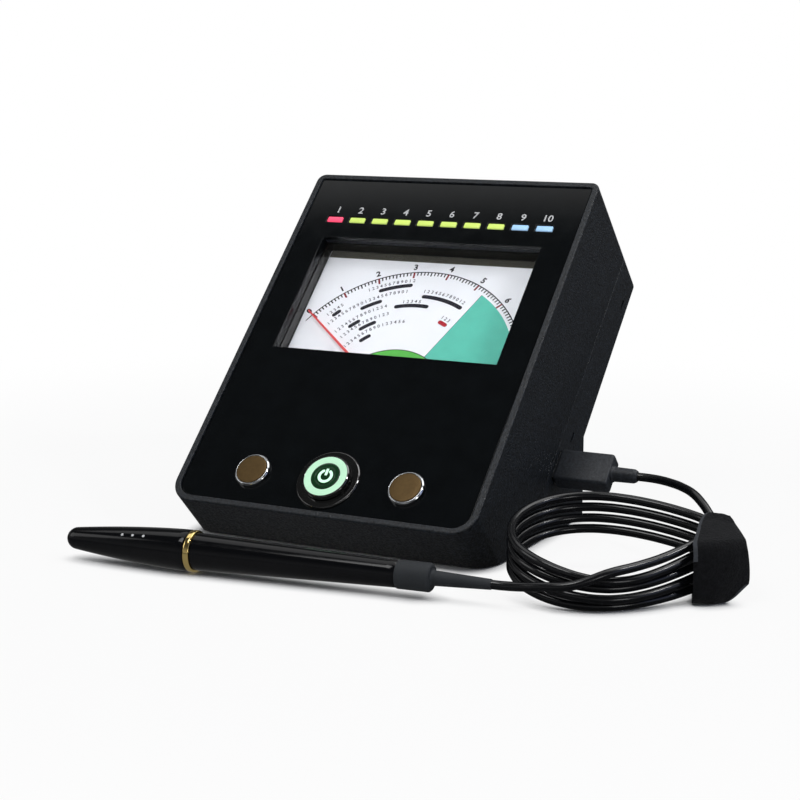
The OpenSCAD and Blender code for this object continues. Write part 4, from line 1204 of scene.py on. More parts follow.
@dataclass
class Strap:
    """The band round the end of the loops: drawn askew, with its lower front corner cut off.

    Its corners, and its left and right ends at them, go from the lower front one to the lower back,
    the upper back and the upper front one.
    """

    coil: CordCoil
    thickness: float = 1.6
    shown_share: float = 0.9
    soft_edge: Rounding = (0.4, 3)
    sharp_deg: float = 50.0
    smooth_deg: float = 60.0
    room: float = 1.2
    inset: float = 2.8
    corners: tuple[Point2, ...] = ((-19, 2.9), (19, 7.5), (19, 29.5), (-19, 21.5))
    left: tuple[float, ...] = (26.6, 33.0, 37.4, 26.4)
    right: tuple[float, ...] = (47.2, 41.0, 43.6, 46.2)
    cut: float = 8.8
    cut_height: float = 7.5
    columns: int = 13
    corner_steps: int = 8
    point_gap: float = 1.5
    # Shares up and across the band where its painted sheen shows
    hem_up: float = 0.8
    cut_hem: Point2 = (0.3, 0.15)
    # How the tape swells to its free edge and bulges about its middle height
    swell: float = 0.8
    bulge: float = 0.7
    middle_height: float = 15.0
    # Depth of each ripple, and its turn for a place round the band and for the band's whole width
    ripples: tuple[Point3, ...] = ((0.12, 0.55, 6.0), (0.1, 0.21, 14.0))
    # The back follows the loops at a distance, as a share of its full reach, down to a least share
    back_gap: float = 3.2
    back_reach: float = 18.6
    back_least: float = 0.28
    # The front is drawn in from a distance along the coil, by a share over a length, as a power
    front_from: float = 30.0
    front_length: float = 20.0
    front_draw: float = 0.3
    front_power: float = 1.5
    # The upper back drops, and drops more over a length along the coil
    drop: float = 1.0
    drop_more: float = 4.0
    drop_from: float = 24.0
    drop_length: float = 17.0
    table_gap: float = 0.15

    def build(self) -> bpy.types.Object:
        """Weaves the band as a grid, marks the faces of painted sheen along its edges and gives it thickness.

        Returns:
            The piece.
        """
        bm = bmesh.new()
        loop = self.loop()
        rings = [[bm.verts.new(self.point(k / self.columns, p, i)) for i, p in enumerate(loop)]
                 for k in range(self.columns + 1)]
        # Faces in the paler tape, a painted sheen: the upper faces at the loops' side and those at the cut
        # corner
        sheen_faces: list[bool] = []
        for k, (low, high) in enumerate(zip(rings, rings[1:])):
            for i, spot in enumerate(loop):
                j = (i + 1) % len(loop)
                bm.faces.new((low[i], high[i], high[j], low[j]))
                across, up = self.share(spot)
                cut = up < self.cut_hem[0] and across < self.cut_hem[1]
                sheen_faces.append((k == 0 and up > self.hem_up) or (k == self.columns - 1 and cut))
        mesh = to_mesh(bm, "cord_strap", Matrix.Identity(4), self.smooth_deg)
        strap = put("cord_strap", mesh, STRAP_PILE, Body.CASE, ("coil_strap",))
        # The second material is the painted sheen
        mesh.materials.append(STRAP_PAINTED_SHEEN.material())
        mesh.polygons.foreach_set("material_index", [int(h) for h in sheen_faces])
        wall = strap.modifiers.new("thickness", "SOLIDIFY")
        wall.thickness = self.thickness * MM * self.shown_share
        wall.offset = 0.0
        edge = strap.modifiers.new("soft_edges", "BEVEL")
        edge.width = self.soft_edge[0] * MM
        edge.segments = self.soft_edge[1]
        edge.limit_method = "ANGLE"
        edge.angle_limit = math.radians(self.sharp_deg)
        return strap

    def loop(self) -> list[Vector]:
        """Gives the middle of the band's wall round the loops.

        Returns:
            Places across and up.
        """
        corners = [Vector(c) for c in self.corners]
        middle = sum(corners, Vector((0, 0))) / len(corners)
        reach = self.room + self.thickness / 2 + self.inset
        ring: list[Vector] = []
        for before, corner, after in zip(corners[-1:] + corners, corners, corners[1:] + corners[:1]):
            way_in, way_out = (corner - before).normalized(), (after - corner).normalized()
            inside = corner + Vector((math.copysign(self.inset, middle.x - corner.x),
                                      math.copysign(self.inset, middle.y - corner.y)))
            for t in range(self.corner_steps + 1):
                way = way_in.lerp(way_out, t / self.corner_steps).normalized()
                ring.append(inside + Vector((way.y, -way.x)) * reach)
        dense: list[Vector] = []
        for a, b in zip(ring, ring[1:] + ring[:1]):
            steps = max(1, int((b - a).length / self.point_gap))
            dense += [a.lerp(b, t / steps) for t in range(steps)]
        return dense

    def share(self, spot: Vector) -> Point2:
        """Tells how far back and how far up a place on the band is.

        Args:
            spot: Place across and up on the band.

        Returns:
            Shares from the front to the back and from the lower to the upper side.
        """
        (front, low_front), (back, low_back), (_, high_back), (_, high_front) = self.corners
        across = clamp((spot.x - front) / (back - front))
        low = low_front + (low_back - low_front) * across
        high = high_front + (high_back - high_front) * across
        return across, clamp((spot.y - low) / (high - low))

    def point(self, share: float, spot: Vector, index: int) -> Vector:
        """Gives a place on the strap, whose edges run askew and which swells a little.

        Args:
            share: Share of the strap's width, from the loops to the free edge.
            spot: Place across and up on the band.
            index: Number of the place round the band, for its ripple.

        Returns:
            The place, in millimetres.
        """
        across, up = self.share(spot)
        weights = ((1 - across) * (1 - up), across * (1 - up), across * up, (1 - across) * up)
        left, right = (sum(w * e for w, e in zip(weights, ends)) for ends in (self.left, self.right))
        right += self.swell * math.sin(math.pi * up) * (1 - across)
        right -= self.cut * (1 - across) * clamp(1 - spot.y / self.cut_height)
        ripple = sum(deep * math.sin(index * round_it + share * over)
                     for deep, round_it, over in self.ripples)
        out = (spot - Vector((0, self.middle_height))).normalized()
        out *= self.bulge * math.sin(math.pi * share) + ripple
        along = left + (right - left) * share
        if spot.x > 0:
            reach = (self.coil.half_at(along) + self.back_gap) / self.back_reach
            draw = max(self.back_least, min(1.0, reach))
        else:
            past = max(0.0, (along - self.front_from) / self.front_length)
            draw = 1 - self.front_draw * past ** self.front_power
        drop = self.drop + self.drop_more * clamp((along - self.drop_from) / self.drop_length)
        height = max(spot.y + out.y - drop * up * across, self.thickness / 2 + self.table_gap)
        return self.coil.table(along, spot.x * draw + out.x, height)


@dataclass
class Lead:
    """The probe's cord with its coil, its strap and its plug."""

    diameter: float = 3.5
    overlap: float = 0.5
    round_steps: int = 5
    along_steps: int = 5
    coil: CordCoil = field(default_factory=CordCoil)
    probe_end: Point3 = (88.41, -87.249, 8.2)
    probe_way: Point3 = (0.99556, 0.09411, 0.0)
    probe_route: tuple[Point3, ...] = (
        (99.5, -87, 8.8), (107.5, -87.5, 10), (118.5, -86.5, 11.5), (124.5, -83, 13.5), (129.5, -78.5, 15.4),
        (137.5, -68, 16.8), (144, -57.5, 18.4))
    plug_route: tuple[Point3, ...] = (
        (154.5, -39, 5.2), (157, -33, 6.3), (157.5, -27, 7.9), (156.5, -21.5, 9.8), (154, -15.5, 12),
        (151, -10, 14.6), (147, -5.5, 17.2), (142.5, -1, 20.3), (137.5, 4, 23.6), (132, 9, 26),
        (126, 14, 26.9), (119.5, 18, 27.3), (113, 20.5, 27.5))
    plug_end: Point3 = (104.0, 21.413, 27.5)

    def build(self) -> None:
        plug = Plug().build()
        strap = Strap(self.coil).build()
        self.cord([plug, strap, bpy.data.objects["plug_shell"]])

    def route(self) -> list[Vector]:
        """Gives the cord's centreline from the probe to the plug.

        Returns:
            Places, in millimetres.
        """
        start, way, end = Vector(self.probe_end), Vector(self.probe_way), Vector(self.plug_end)
        out = Vector((1, 0, 0))
        before = [start - way * self.overlap, start + way * self.diameter, *map(Vector, self.probe_route)]
        after = [*map(Vector, self.plug_route), end + out * self.diameter, end - out * self.overlap]
        return before + self.coil.points(self.diameter / 2) + after

    def cord(self, pieces: list[bpy.types.Object]) -> None:
        """Makes the cord as one smooth curve.

        Args:
            pieces: The pieces on it; not used.
        """
        route = [p * MM for p in self.route()]
        curve = bpy.data.curves.new("cord", "CURVE")
        curve.dimensions = "3D"
        curve.bevel_depth = self.diameter / 2 * MM
        curve.bevel_resolution = self.round_steps
        curve.resolution_u = self.along_steps
        curve.use_fill_caps = True
        spline = curve.splines.new("BEZIER")
        spline.bezier_points.add(len(route) - 1)
        for knot, place in zip(spline.bezier_points, route):
            knot.co = place
            knot.handle_left_type = knot.handle_right_type = "AUTO"
        cord = link("probe_cord", curve)
        curve.materials.append(CORD_PVC.material())
        bpy.context.view_layer.update()
        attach(cord, Body.CASE.value)
        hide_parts("cord_probe_run", "cord_coil", "cord_plug_run")


@dataclass
class CaseShells:
    """The front shell, the rear cover, the base pads and the cover's screws."""

    width: float = 138.0
    height: float = 179.5
    depth: float = 67.0
    low_corner: float = 10.0
    high_corner: float = 4.0
    seam_depth: float = 46.8
    seam_gap: float = 0.3
    rim_edge: Rounding = (0.9, 5)
    rear_edge: Rounding = (1.0, 5)
    fine_edge: Rounding = (0.35, 3)
    # Lower left and upper right corner of the window's opening
    window: tuple[Point2, Point2] = ((-52.5, 81.2), (52.5, 143.2))
    screw_inset: float = 9.0
    screw_rows: Point2 = (104.0, 170.0)
    screw_recess: float = 4.0
    screw_head: float = 2.0
    # Radius, and depth below the head's top
    screw_profile: tuple[Point2, ...] = ((0, 24.0), (1.5, 24.0), (1.5, 2.0), (3.0, 2.0), (3.0, 0.5),
                                         (2.3, 0.0))
    screw_edge: Rounding = (0.3, 3)
    screw_segments: int = 40
    cross_quarter: tuple[Point2, ...] = ((1.75, -0.42), (1.75, 0.42), (0.42, 0.42))
    cross_depth: float = 1.3
    cross_taper: float = 0.6

    def build(self) -> None:
        """Dresses the shells, the pads and the screws."""
        self.front()
        rear = SoftEdges("rear_cover").round(*self.rear_edge, at_level(-self.depth, self.outside))
        rear.round(*self.fine_edge, at_level(-self.seam_depth - self.seam_gap, self.outside))
        rear.finish("rear_cover_skin", TEXTURED_ABS, "textured_abs")
        SoftEdges("base_pads").round(*self.fine_edge).finish("base_pad_pair", PAD_RUBBER, "rubber_pad")
        self.screws()

    def outside(self, point: Vector) -> bool:
        """Tells whether a place is on the case's outer walls, seen square to the front face.

        Args:
            point: The place on the face.

        Returns:
            Whether it is.
        """
        side = self.width / 2 - abs(point.x) < ON_WALL
        ends = point.y < ON_WALL or self.height - point.y < ON_WALL
        return side or ends or self.corner(point)

    def inside(self, point: Vector) -> bool:
        """Tells whether a place is off the case's outer walls."""
        return not self.outside(point)

    def corner(self, point: Vector) -> bool:
        """Tells whether a place is on one of the round corners.

        Args:
            point: The place on the face.

        Returns:
            Whether it is.
        """
        low, high = self.low_corner, self.high_corner
        for radius, s, sign in ((low, low, -1), (high, self.height - high, 1)):
            gap = Vector((abs(point.x) - (self.width / 2 - radius), (point.y - s) * sign))
            if min(gap) > -PAST_CORNER and abs(gap.length - radius) < ON_CORNER:
                return True
        return False

    def front(self) -> None:
        """Rounds the rim and the seam of the front shell, and polishes its window's walls."""
        shell = SoftEdges("front_shell").round(*self.rim_edge, at_level(0.0, self.outside))
        shell.round(*self.fine_edge, at_level(0.0, self.inside))
        shell.round(*self.fine_edge, at_level(-self.seam_depth, self.outside))
        skin = shell.finish("front_shell_skin", TEXTURED_ABS, "textured_abs")
        skin.data.materials.append(GLOSS_ACRYLIC.material())
        for polygon in skin.data.polygons:
            polygon.material_index = int(self.in_window(shell.to_face @ polygon.center / MM))

    def in_window(self, point: Vector) -> bool:
        """Tells whether a place is on the walls of the window's opening, which are cut with the panel.

        Args:
            point: The place on the face.

        Returns:
            Whether it is.
        """
        (left, low), (right, high) = self.window
        slack = 2 * ON_WALL
        beside = min(abs(point.x - left), abs(point.x - right)) < ON_WALL
        above = min(abs(point.y - low), abs(point.y - high)) < ON_WALL
        return (beside and low - slack < point.y < high + slack) or (
            above and left - slack < point.x < right + slack)

    def screw(self) -> bmesh.types.BMesh:
        """Turns one screw and sinks a cross in its head.

        Returns:
            The screw, its head's top at the origin.
        """
        bm = lathe(rounded(self.screw_profile, *self.screw_edge), self.screw_segments)
        ring = [e for e in bm.edges if e.is_boundary]
        outline = [Matrix.Rotation(math.pi / 2 * k, 2) @ Vector(p)
                   for k in range(4) for p in self.cross_quarter]
        top = [bm.verts.new((p.x, p.y, 0.0)) for p in outline]
        low = [bm.verts.new((*(p * self.cross_taper), self.cross_depth)) for p in outline]
        for k, start in enumerate(top):
            ring.append(bm.edges.new((start, top[k - 1])))
            bm.faces.new((start, top[k - 1], low[k - 1], low[k]))
        bm.faces.new(low)
        bmesh.ops.triangle_fill(bm, use_beauty=True, edges=ring)
        return bm

    def screws(self) -> None:
        """Sets a cross-head screw in each recess of the rear cover."""
        spots = bpy.data.meshes.new("screw_spots")
        x, level = self.width / 2 - self.screw_inset, self.screw_recess - self.screw_head - self.depth
        places = [FACE.at(side * x, row, level).to_translation()
                  for side in (-1, 1) for row in self.screw_rows]
        spots.from_pydata(places, [], [])
        turn = (math.radians(FACE.angle_deg), 0, 0)
        with Prototype(self.screw()) as screw:
            mesh = spot_pattern().run("cover_screw_set", STEEL, {"Prototype": screw, "Turn": turn}, spots)
        put("cover_screw_set", mesh, STEEL, Body.CASE, ("cover_screws",))


@dataclass
class FrontPanel:
    """The gloss panel with its printed lamp numbers, and the row of lamps."""

    level: float = -0.8
    edge: Rounding = (0.25, 3)
    lamp_s: float = 153.35
    lamp_pitch: float = 11.3
    lamp_size: Point3 = (7.5, 2.8, 9.0)
    lamp_edge: Rounding = (0.5, 4)
    lamp_proud: float = 0.15
    lamp_count: int = 10
    number_height: float = 3.6
    number_rise: float = 5.4
    number_ink: float = 0.04
    # Piece, lens, number of its first lamp, how many, node and slot
    groups: tuple[tuple[str, LitFinish, int, int, str, str], ...] = (
        ("lamp_red", LENS_RED, 0, 1, "led_red", "lamp_red"),
        ("lamps_green", LENS_GREEN, 1, 7, "led_green", "lamp_green"),
        ("lamps_blue", LENS_BLUE, 8, 2, "led_blue", "lamp_blue"))

    def build(self) -> None:
        """Dresses the panel, prints the numbers and sets the lamps."""
        panel = SoftEdges("front_panel").round(*self.edge, at_level(self.level))
        panel.finish("panel_sheet", GLOSS_ACRYLIC, "gloss_black")
        self.numbers()
        self.lamps()

    def lamp_x(self, index: int) -> float:
        """Gives a lamp's distance to the right of the middle."""
        return (index - (self.lamp_count - 1) / 2) * self.lamp_pitch

    def numbers(self) -> None:
        """Prints a plain number over each lamp."""
        ink = Print("lamp_numbers", INK_WHITE, self.number_ink)
        for k in range(self.lamp_count):
            place = Matrix.Translation((self.lamp_x(k), self.lamp_s + self.number_rise, 0))
            ink.number(str(k + 1), self.number_height, place)
        ink.finish_on(FACE.at(0, 0, self.level))

    def lamps(self) -> None:
        """Sets the lenses in their slots, in three colours."""
        pattern = row_pattern()
        level = self.level + self.lamp_proud - self.lamp_size[2] / 2
        for name, lens, first, count, node, slot in self.groups:
            with Prototype(rounded_box(self.lamp_size, *self.lamp_edge)) as shape:
                mesh = pattern.run(name, lens, {
                    "Count": count, "First": (self.lamp_x(first) * MM, 0, 0),
                    "Pitch": (self.lamp_pitch * MM, 0, 0), "Prototype": shape})
            mesh.transform(FACE.at(0, self.lamp_s, level))
            put(name, mesh, lens, Body.CASE, (node,))


@dataclass(frozen=True)
class Marks:
    """One row of marks on the scale."""

    name: str
    count: int
    per_unit: int
    width: float
    length: float
    ink: Finish
    lift: float


@dataclass
class Meter:
    """The needle meter: its printed dial, its needle and its movement.

    Angles are to the right of straight up, about the scale's centre. Lifts are heights over the dial.
    """

    dial_level: float = -11.0
    scale_x: float = 1.36
    scale_s: float = 76.56
    scale_radius: float = 57.1
    zero_deg: float = -58.3
    unit_deg: float = 16.72
    units: int = 7
    figure_height: float = 2.9
    figure_boldness: float = 0.05
    line_deg: Point2 = (-62.5, 57.0)
    line_width: float = 0.5
    line_steps: int = 90
    ink: float = 0.02
    marks: tuple[Marks, ...] = (
        Marks("scale_fine_marks", 69, 10, 0.56, 1.8, INK_NAVY, 0.03),
        Marks("scale_half_marks", 13, 2, 0.6, 2.2, INK_NAVY, 0.035),
        Marks("scale_unit_marks", 7, 1, 0.85, 3.1, INK_MAROON, 0.04))
    low_lift: float = 0.01
    print_lift: float = 0.02
    edge_lift: float = 0.035
    hub_lift: float = 0.06
    dial_low: float = 76.2
    dial_right: float = 51.9
    # Lower and upper edge, up the face, of the band of painted shade along the dial's top
    band_s: Point2 = (139.0, 142.7)
    # Radius and the angles of the two ends of each range bar, and of each row of small figures
    bar_width: float = 1.95
    bars: tuple[Point3, ...] = (
        (49.9, -25.6, -7.5), (43.7, -37.7, -24.3), (48.9, -52.6, -47.1), (38.6, -16.7, 7.5),
        (43.7, -0.1, 28.1), (37.6, -49.8, -40.6), (32.9, -44.8, -30.3), (26.8, -50.1, -37.9))
    red_bar: Point3 = (33.4, 21.7, 30.3)
    rows: tuple[Point3, ...] = (
        (52.4, -30.2, -5.7), (46.6, -56.7, -8.5), (40.1, -57.5, -20.5), (35.5, -57.8, -20.5),
        (29.9, -61.8, -6.9), (40.8, -10.6, 0.3), (46.5, 0.4, 27.7), (51.2, -53.7, -45.0), (35.9, 22.1, 29.5))
    row_height: float = 1.7
    row_boldness: float = 0.015
    row_pitch: float = 1.9
    # The sector's radius and left end, and a place on the face that its left edge passes through
    zone_radius: float = 54.0
    zone_first_deg: float = 30.6
    zone_foot: Point2 = (13.84, 88.42)
    zone_inset: float = 0.2
    zone_edge: float = 0.1
    # The hub's place on the face and its radius
    hub: Point3 = (1.8, 64.05, 26.9)
    hub_edge: float = 0.4
    arc_steps: int = 32

    def build(self) -> None:
        """Prints the dial and dresses the movement."""
        self.zones()
        self.scale()
        self.figures()
        dress(METER_STYRENE, "meter_case")
        dress(CLEAR_ACRYLIC, "window_pane")
        dress(DIAL_ENAMEL, "dial_plate")
        dress(NEEDLE_PAINT, "needle")
        dress(STEEL, "dial_screws", "meter_screws", "spindle")
        dress(COPPER, "moving_coil")
        dress(BRASS, "hairspring", "front_bridge", "rear_bridge")
        dress(IRON, "meter_core", "meter_magnet", "meter_yoke")

    def place(self, lift: float) -> Matrix:
        """Gives the frame about the scale's centre, a little above the dial."""
        return FACE.at(self.scale_x, self.scale_s, self.dial_level + lift)

    def fill(self, name: str, ink: Finish, lift: float, outline: Sequence[Point2]) -> None:
        """Prints one zone.

        Args:
            name: The piece's name.
            ink: Its ink.
            lift: Its height over the dial.
            outline: Points round it.
        """
        zone = Print(name, ink, self.ink)
        zone.zone(outline)
        zone.finish_on(self.place(lift))

    def zones(self) -> None:
        """Prints a band of painted shade along the top, the teal sector and the green hub, each with its
        edge.
        """
        low = self.dial_low - self.scale_s
        left, right = (x - self.scale_x for x in (-self.dial_right, self.dial_right))
        under, over = (s - self.scale_s for s in self.band_s)
        # Painted shade: a dark olive band where the window's top edge shades the dial
        self.fill("dial_top_band", INK_PAINTED_SHADE, self.low_lift,
                  [(left, under), (right, under), (right, over), (left, over)])
        first = math.radians(self.zone_first_deg)
        last = math.asin((right - self.zone_inset) / self.zone_radius)
        arc = [polar(first + (last - first) * k / self.arc_steps, self.zone_radius)
               for k in range(self.arc_steps + 1)]
        foot = Vector(self.zone_foot) - Vector((self.scale_x, self.scale_s))
        slope = (arc[0].x - foot.x) / (arc[0].y - foot.y)
        start = foot.x - slope * (foot.y - low)
        self.fill("dial_teal_zone", INK_TEAL, self.low_lift, [*arc, (right, low), (start, low)])
        (x, y), half = arc[0], self.zone_edge
        self.fill("dial_zone_edge", INK_NAVY, self.edge_lift,
                  [(x - half, y), (x + half, y), (start + half, low), (start - half, low)])
        middle = Vector((self.hub[0] - self.scale_x, self.hub[1] - self.scale_s))
        for name, ink, lift, radius in (
                ("dial_hub_edge", INK_NAVY, self.edge_lift, self.hub[2] + self.hub_edge),
                ("dial_hub", INK_GREEN, self.hub_lift, self.hub[2])):
            chord = math.acos((low - middle.y) / radius)
            turns = [chord * k / self.arc_steps for k in range(-self.arc_steps, self.arc_steps + 1)]
            self.fill(name, ink, lift, [middle + polar(t, radius) for t in turns])

    def scale(self) -> None:
        """Prints the scale's arc and its marks."""
        pattern = arc_pattern()
        for row in self.marks:
            mesh = pattern.run(row.name, row.ink, {
                "Count": row.count, "First": math.radians(self.zero_deg),
                "Step": math.radians(self.unit_deg / row.per_unit),
                "Radius": (self.scale_radius - row.length / 2) * MM,
                "Stroke": Vector((row.width, row.length, self.ink)) * MM})
            mesh.transform(self.place(row.lift))
            put(row.name, mesh, row.ink, Body.CASE)
        line = Print("scale_line", INK_NAVY, self.ink)
        line.bar(self.scale_radius, self.line_deg, self.line_width, self.line_steps)
        line.finish_on(self.place(self.print_lift))

    def figures(self) -> None:
        """Prints the scale's figures, the range bars and the small figures over them."""
        navy = Print("dial_figures", INK_NAVY, self.ink, self.figure_boldness)
        for unit in range(self.units):
            navy.arc_number(str(unit), self.figure_height, self.scale_radius + self.figure_height,
                            self.zero_deg + unit * self.unit_deg)
        red = Print("dial_red_bar", INK_RED, self.ink)
        small = Print("dial_small_figures", INK_GREY, self.ink, self.row_boldness)
        for pen, bars in ((navy, self.bars), (red, (self.red_bar,))):
            for radius, first, last in bars:
                round_end = math.degrees(self.bar_width / 2 / radius)
                pen.bar(radius, (first + round_end, last - round_end), self.bar_width)
        for radius, first, last in self.rows:
            pitch = math.degrees(self.row_pitch / radius)
            for k in range(int((last - first) / pitch) + 1):
                small.arc_number(str((k + 1) % 10), self.row_height, radius, first + k * pitch)
        for pen in (navy, red, small):
            pen.finish_on(self.place(self.print_lift))


@dataclass
class SideButton:
    """A bronze disc in a chrome rim.

    Heights are over the case's rim. A chamfer or a mouth is a width and a height.
    """

    side: Side
    x: float = 35.2
    s: float = 17.5
    panel: float = -0.8
    radius: float = 7.6
    rim_top: float = 1.2
    rim_chamfer: Point2 = (0.5, 0.55)
    rim_rounding: Rounding = (0.12, 3)
    bore: float = 6.65
    mouth: Point2 = (0.08, 0.2)
    seat: float = 0.4
    barrel_radius: float = 6.0
    barrel_bore: float = 2.6
    barrel_end: float = -15.0
    disc_gap: float = 0.08
    disc_top: float = 1.4
    disc_edge: float = 0.22
    disc_rounding: Rounding = (0.08, 3)
    disc_low: float = 0.4
    crown: float = 0.03
    crown_share: float = 0.6
    stem_radius: float = 2.5
    foot_radius: float = 3.6
    foot_heights: Point2 = (-7.8, -6.3)

    def build(self) -> None:
        """Turns the rim and the disc, and dresses what is behind them."""
        name = self.side.name.lower()
        body = Body[self.side.name]
        place = FACE.at(self.side.value * self.x, self.s, 0)
        inner, seat, (wide, tall) = self.barrel_bore, self.panel + self.seat, self.rim_chamfer
        Turning(place, self.rim_rounding).put(name + "_rim", [
            (inner, self.barrel_end), (self.barrel_radius, self.barrel_end), (self.barrel_radius, self.panel),
            (self.radius, self.panel), (self.radius, self.rim_top - tall), (self.radius - wide, self.rim_top),
            (self.bore + self.mouth[0], self.rim_top), (self.bore, self.rim_top - self.mouth[1]),
            (self.bore, seat), (inner, seat), (inner, self.barrel_end)],
            CHROME, Body.CASE, "chrome", name + "_bezel")
        edge, top, (low, high) = self.bore - self.disc_gap, self.disc_top, self.foot_heights
        Turning(place, self.disc_rounding).put(name + "_disc", [
            (0, low), (self.foot_radius, low), (self.foot_radius, high), (self.stem_radius, high),
            (self.stem_radius, self.disc_low), (edge, self.disc_low), (edge, top - self.disc_edge),
            (edge - self.disc_edge, top - self.crown), (edge * self.crown_share, top), (0, top)],
            BRONZE, body, "bronze_disc", name + "_cap")
        compress(name + "_spring", STEEL, body, FACE.normal())
        dress(STEEL, name + "_nut")
        dress(BLACK_NYLON, name + "_switch")


@dataclass
class PowerButton:
    """The lit power button: a black flange, a raised cap with a lit ring, and a lit symbol.

    Heights are over the case's rim.
    """

    s: float = 17.5
    panel: float = -0.8
    flange_radius: float = 13.6
    flange_top: float = 0.2
    flange_chamfer: float = 0.45
    flange_rounding: Rounding = (0.15, 4)
    mouth_chamfer: float = 0.25
    barrel_radius: float = 12.0
    barrel_end: float = -12.0
    cap_gap: float = 0.08
    cap_radius: float = 9.92
    cap_top: float = 2.7
    cap_chamfer: float = 0.5
    cap_rounding: Rounding = (0.12, 3)
    hollow: Point2 = (8.5, 0.9)
    skirt_width: float = 0.7
    skirt_heights: Point2 = (-5.8, -4.3)
    ring_outer: float = 9.2
    ring_inner: float = 6.3
    ring_depth: float = 1.0
    ring_gap: float = 0.03
    ring_sunk: float = 0.05
    # Radius, and height over the cap's top: a shallow lens with one fine groove
    lens: tuple[Point2, ...] = ((0, -0.06), (6.05, -0.06), (6.0, 0), (4.6, 0.02), (4.5, -0.03), (4.2, -0.03),
                                (4.1, 0.02), (0, 0.04))
    lens_rounding: Rounding = (0.04, 2)
    lens_segments: int = 96
    symbol_radius: float = 2.65
    symbol_deg: Point2 = (34, 326)
    symbol_width: float = 1.2
    symbol_steps: int = 48
    symbol_lift: float = 0.03
    symbol_ink: float = 0.05
    stroke_half: float = 0.55
    stroke_span: Point2 = (0.3, 3.4)

    def build(self) -> None:
        """Turns the flange, the cap and its lit pieces, and dresses what is behind them."""
        place = FACE.at(0, self.s, 0)
        bore, rim, lip = self.cap_radius + self.cap_gap, self.flange_radius, self.flange_top
        Turning(place, self.flange_rounding).put("power_flange", [
            (bore, self.barrel_end), (self.barrel_radius, self.barrel_end), (self.barrel_radius, self.panel),
            (rim, self.panel), (rim, lip - self.flange_chamfer), (rim - self.flange_chamfer, lip),
            (bore + self.mouth_chamfer, lip), (bore, lip - self.mouth_chamfer), (bore, self.barrel_end)],
            BUTTON_BLACK, Body.CASE, "button_black", "power_bezel")
        top, sunk, floor = self.cap_top, self.cap_top - self.ring_sunk, self.cap_top - self.ring_depth
        wall, skirt, (low, high) = self.cap_radius, self.cap_radius + self.skirt_width, self.skirt_heights
        outer, inner = self.ring_outer + self.ring_gap, self.ring_inner - self.ring_gap
        fine = Turning(place, self.cap_rounding)
        fine.put("power_button_cap", [
            (0, self.hollow[1]), self.hollow, (self.hollow[0], low), (skirt, low), (skirt, high),
            (wall, high), (wall, top - self.cap_chamfer), (wall - self.cap_chamfer, top), (outer, top),
            (outer, floor), (inner, floor), (inner, sunk), (0, sunk)],
            BUTTON_BLACK, Body.POWER, "button_black", "power_cap")
        fine.put("power_ring_light", [
            (self.ring_inner, floor), (self.ring_outer, floor), (self.ring_outer, sunk),
            (self.ring_inner, sunk), (self.ring_inner, floor)],
            RING_LIGHT, Body.POWER, "lit_ring", "power_halo")
        lens = Turning(place, self.lens_rounding, self.lens_segments)
        lens.put("power_centre_lens", [(r, top + h) for r, h in self.lens],
                 BUTTON_GREEN, Body.POWER, "button_black")
        self.symbol()
        compress("power_spring", STEEL, Body.POWER, FACE.normal())
        dress(STEEL, "power_nut")
        dress(BLACK_NYLON, "power_switch")

    def symbol(self) -> None:
        """Draws the lit power mark: an open ring and a stroke."""
        ink = Print("power_symbol", SYMBOL_LIGHT, self.symbol_ink)
        ink.bar(self.symbol_radius, self.symbol_deg, self.symbol_width, self.symbol_steps)
        half, (low, high) = self.stroke_half, self.stroke_span
        ink.zone([(-half, low), (half, low), (half, high), (-half, high)])
        ink.finish_on(FACE.at(0, self.s, self.cap_top + self.symbol_lift), Body.POWER, "lit_ring")


@dataclass
class Electronics:
    """The boards and what they carry, and the shell of the plug in their socket."""

    def build(self) -> None:
        """Dresses the boards, their screws, the socket, the plug's shell, the buzzer and the inlet."""
        dress(BOARD_MASK, "led_board", "main_board")
        dress(STEEL, "led_board_screws", "board_screws")
        dress(CHROME, "usb_socket", "plug_shell")
        dress(BLACK_NYLON, "buzzer", "power_jack")


